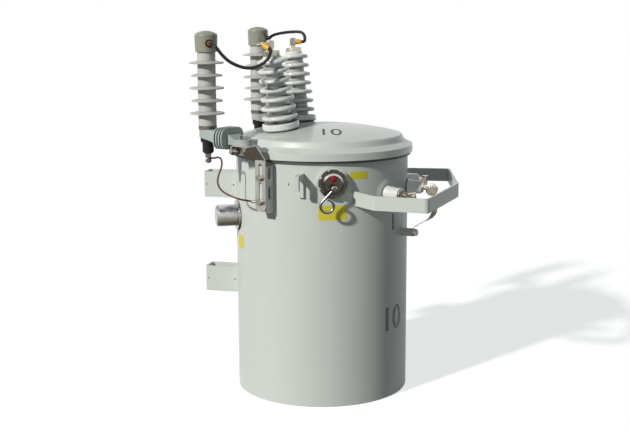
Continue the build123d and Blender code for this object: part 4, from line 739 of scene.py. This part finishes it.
def add_upright_bolt(shape, place, out, across, rim):
    """Stud with an upright clamping bolt."""
    bolt = place + out * BOLT_AT
    along, wide, tall = BOLT_JAW_HALF
    shape.turned(place, out, rod(rim, BOLT_AT, BOLT_STUD_RADIUS), sides=24)
    shape.turned(bolt, UPRIGHT, BOLT_SHANK, sides=32)
    shape.turned(bolt, UPRIGHT, BOLT_HEAD, sides=32)
    shape.block(bolt - out * BOLT_JAW_BACK, out * along, across * wide, UPRIGHT * tall)


def make_terminals():
    """Collars in the porcelain's mouths, and what is on the studs."""
    shape = Shape()
    ends = {1: add_clamp, 2: add_eye, 3: add_upright_bolt}
    for number, rim in LV_RIM.items():
        place, out = lv_axis(number)
        shape.turned(place, out, shifted(LV_COLLAR, rim))
        ends[number](shape, place, out, out.cross(UPRIGHT), rim)
    shape.finish("lv_fittings", "bronze", "lv_terminals")


def smooth_route(points, values):
    """Catmull-Rom line through the points, with each point's own value carried along."""
    result = []
    last = len(points) - 1
    for index in range(last):
        p0, p1, p2, p3 = (points[min(max(index + shift, 0), last)] for shift in (-1, 0, 1, 2))
        for step in range(STRAP_STEPS):
            t = step / STRAP_STEPS
            place = 0.5 * (2 * p1 + (p2 - p0) * t + (2 * p0 - 5 * p1 + 4 * p2 - p3) * t ** 2
                           + (3 * p1 - p0 - 3 * p2 + p3) * t ** 3)
            result.append((place, values[index] + (values[index + 1] - values[index]) * t))
    return result + [(points[-1], values[-1])]


def make_ground_strap():
    """Boss on the wall, its nut, and the flat strap up to the middle terminal, which twists."""
    middle = middle_of("ground_boss")
    out = Vector((middle.x, middle.y, 0)).normalized()
    place = out * (TANK_RADIUS + WALL) + UPRIGHT * (middle.z + GROUND_RISE)
    boss = Shape()
    boss.turned(place, out, GROUND_BOSS)
    boss.finish("ground_pad", "tank_paint", "ground_boss")
    nut = Shape()
    nut.turned(place, out, GROUND_WASHER, sides=32)
    nut.turned(place, out, GROUND_NUT, sides=6)
    nut.turned(place, out, GROUND_SCREW, sides=24)
    nut.finish("ground_nut", "bolt_steel", "ground_screw")
    end = place + out * STRAP_SEAT - UPRIGHT * STRAP_END_DROP
    line = smooth_route([Vector(point) for point in STRAP_ROUTE] + [end], STRAP_TWIST)
    rings = []
    for index, (point, twist) in enumerate(line):
        before = line[max(index - 1, 0)][0]
        after = line[min(index + 1, len(line) - 1)][0]
        along = (after - before).normalized()
        flat = Vector((1, 0, 0))
        flat = (flat - along * flat.dot(along)).normalized()
        other = along.cross(flat)
        angle = math.radians(twist)
        wide = (flat * math.cos(angle) + other * math.sin(angle)) * STRAP_HALF_WIDTH
        thick = (other * math.cos(angle) - flat * math.sin(angle)) * STRAP_THICKNESS / 2
        rings.append([point - wide - thick, point + wide - thick, point + wide + thick,
                      point - wide + thick])
    strap = Shape()
    strap.skin(rings)
    strap.finish("ground_ribbon", "ring_steel", "ground_strap")


make_camera()
make_lights()
make_world()
make_floor()
dress_nodes()
make_leads()
make_marks()
make_domes()
make_bushings()
make_terminals()
make_ground_strap()
bpy.context.scene.view_settings.view_transform = "Standard"
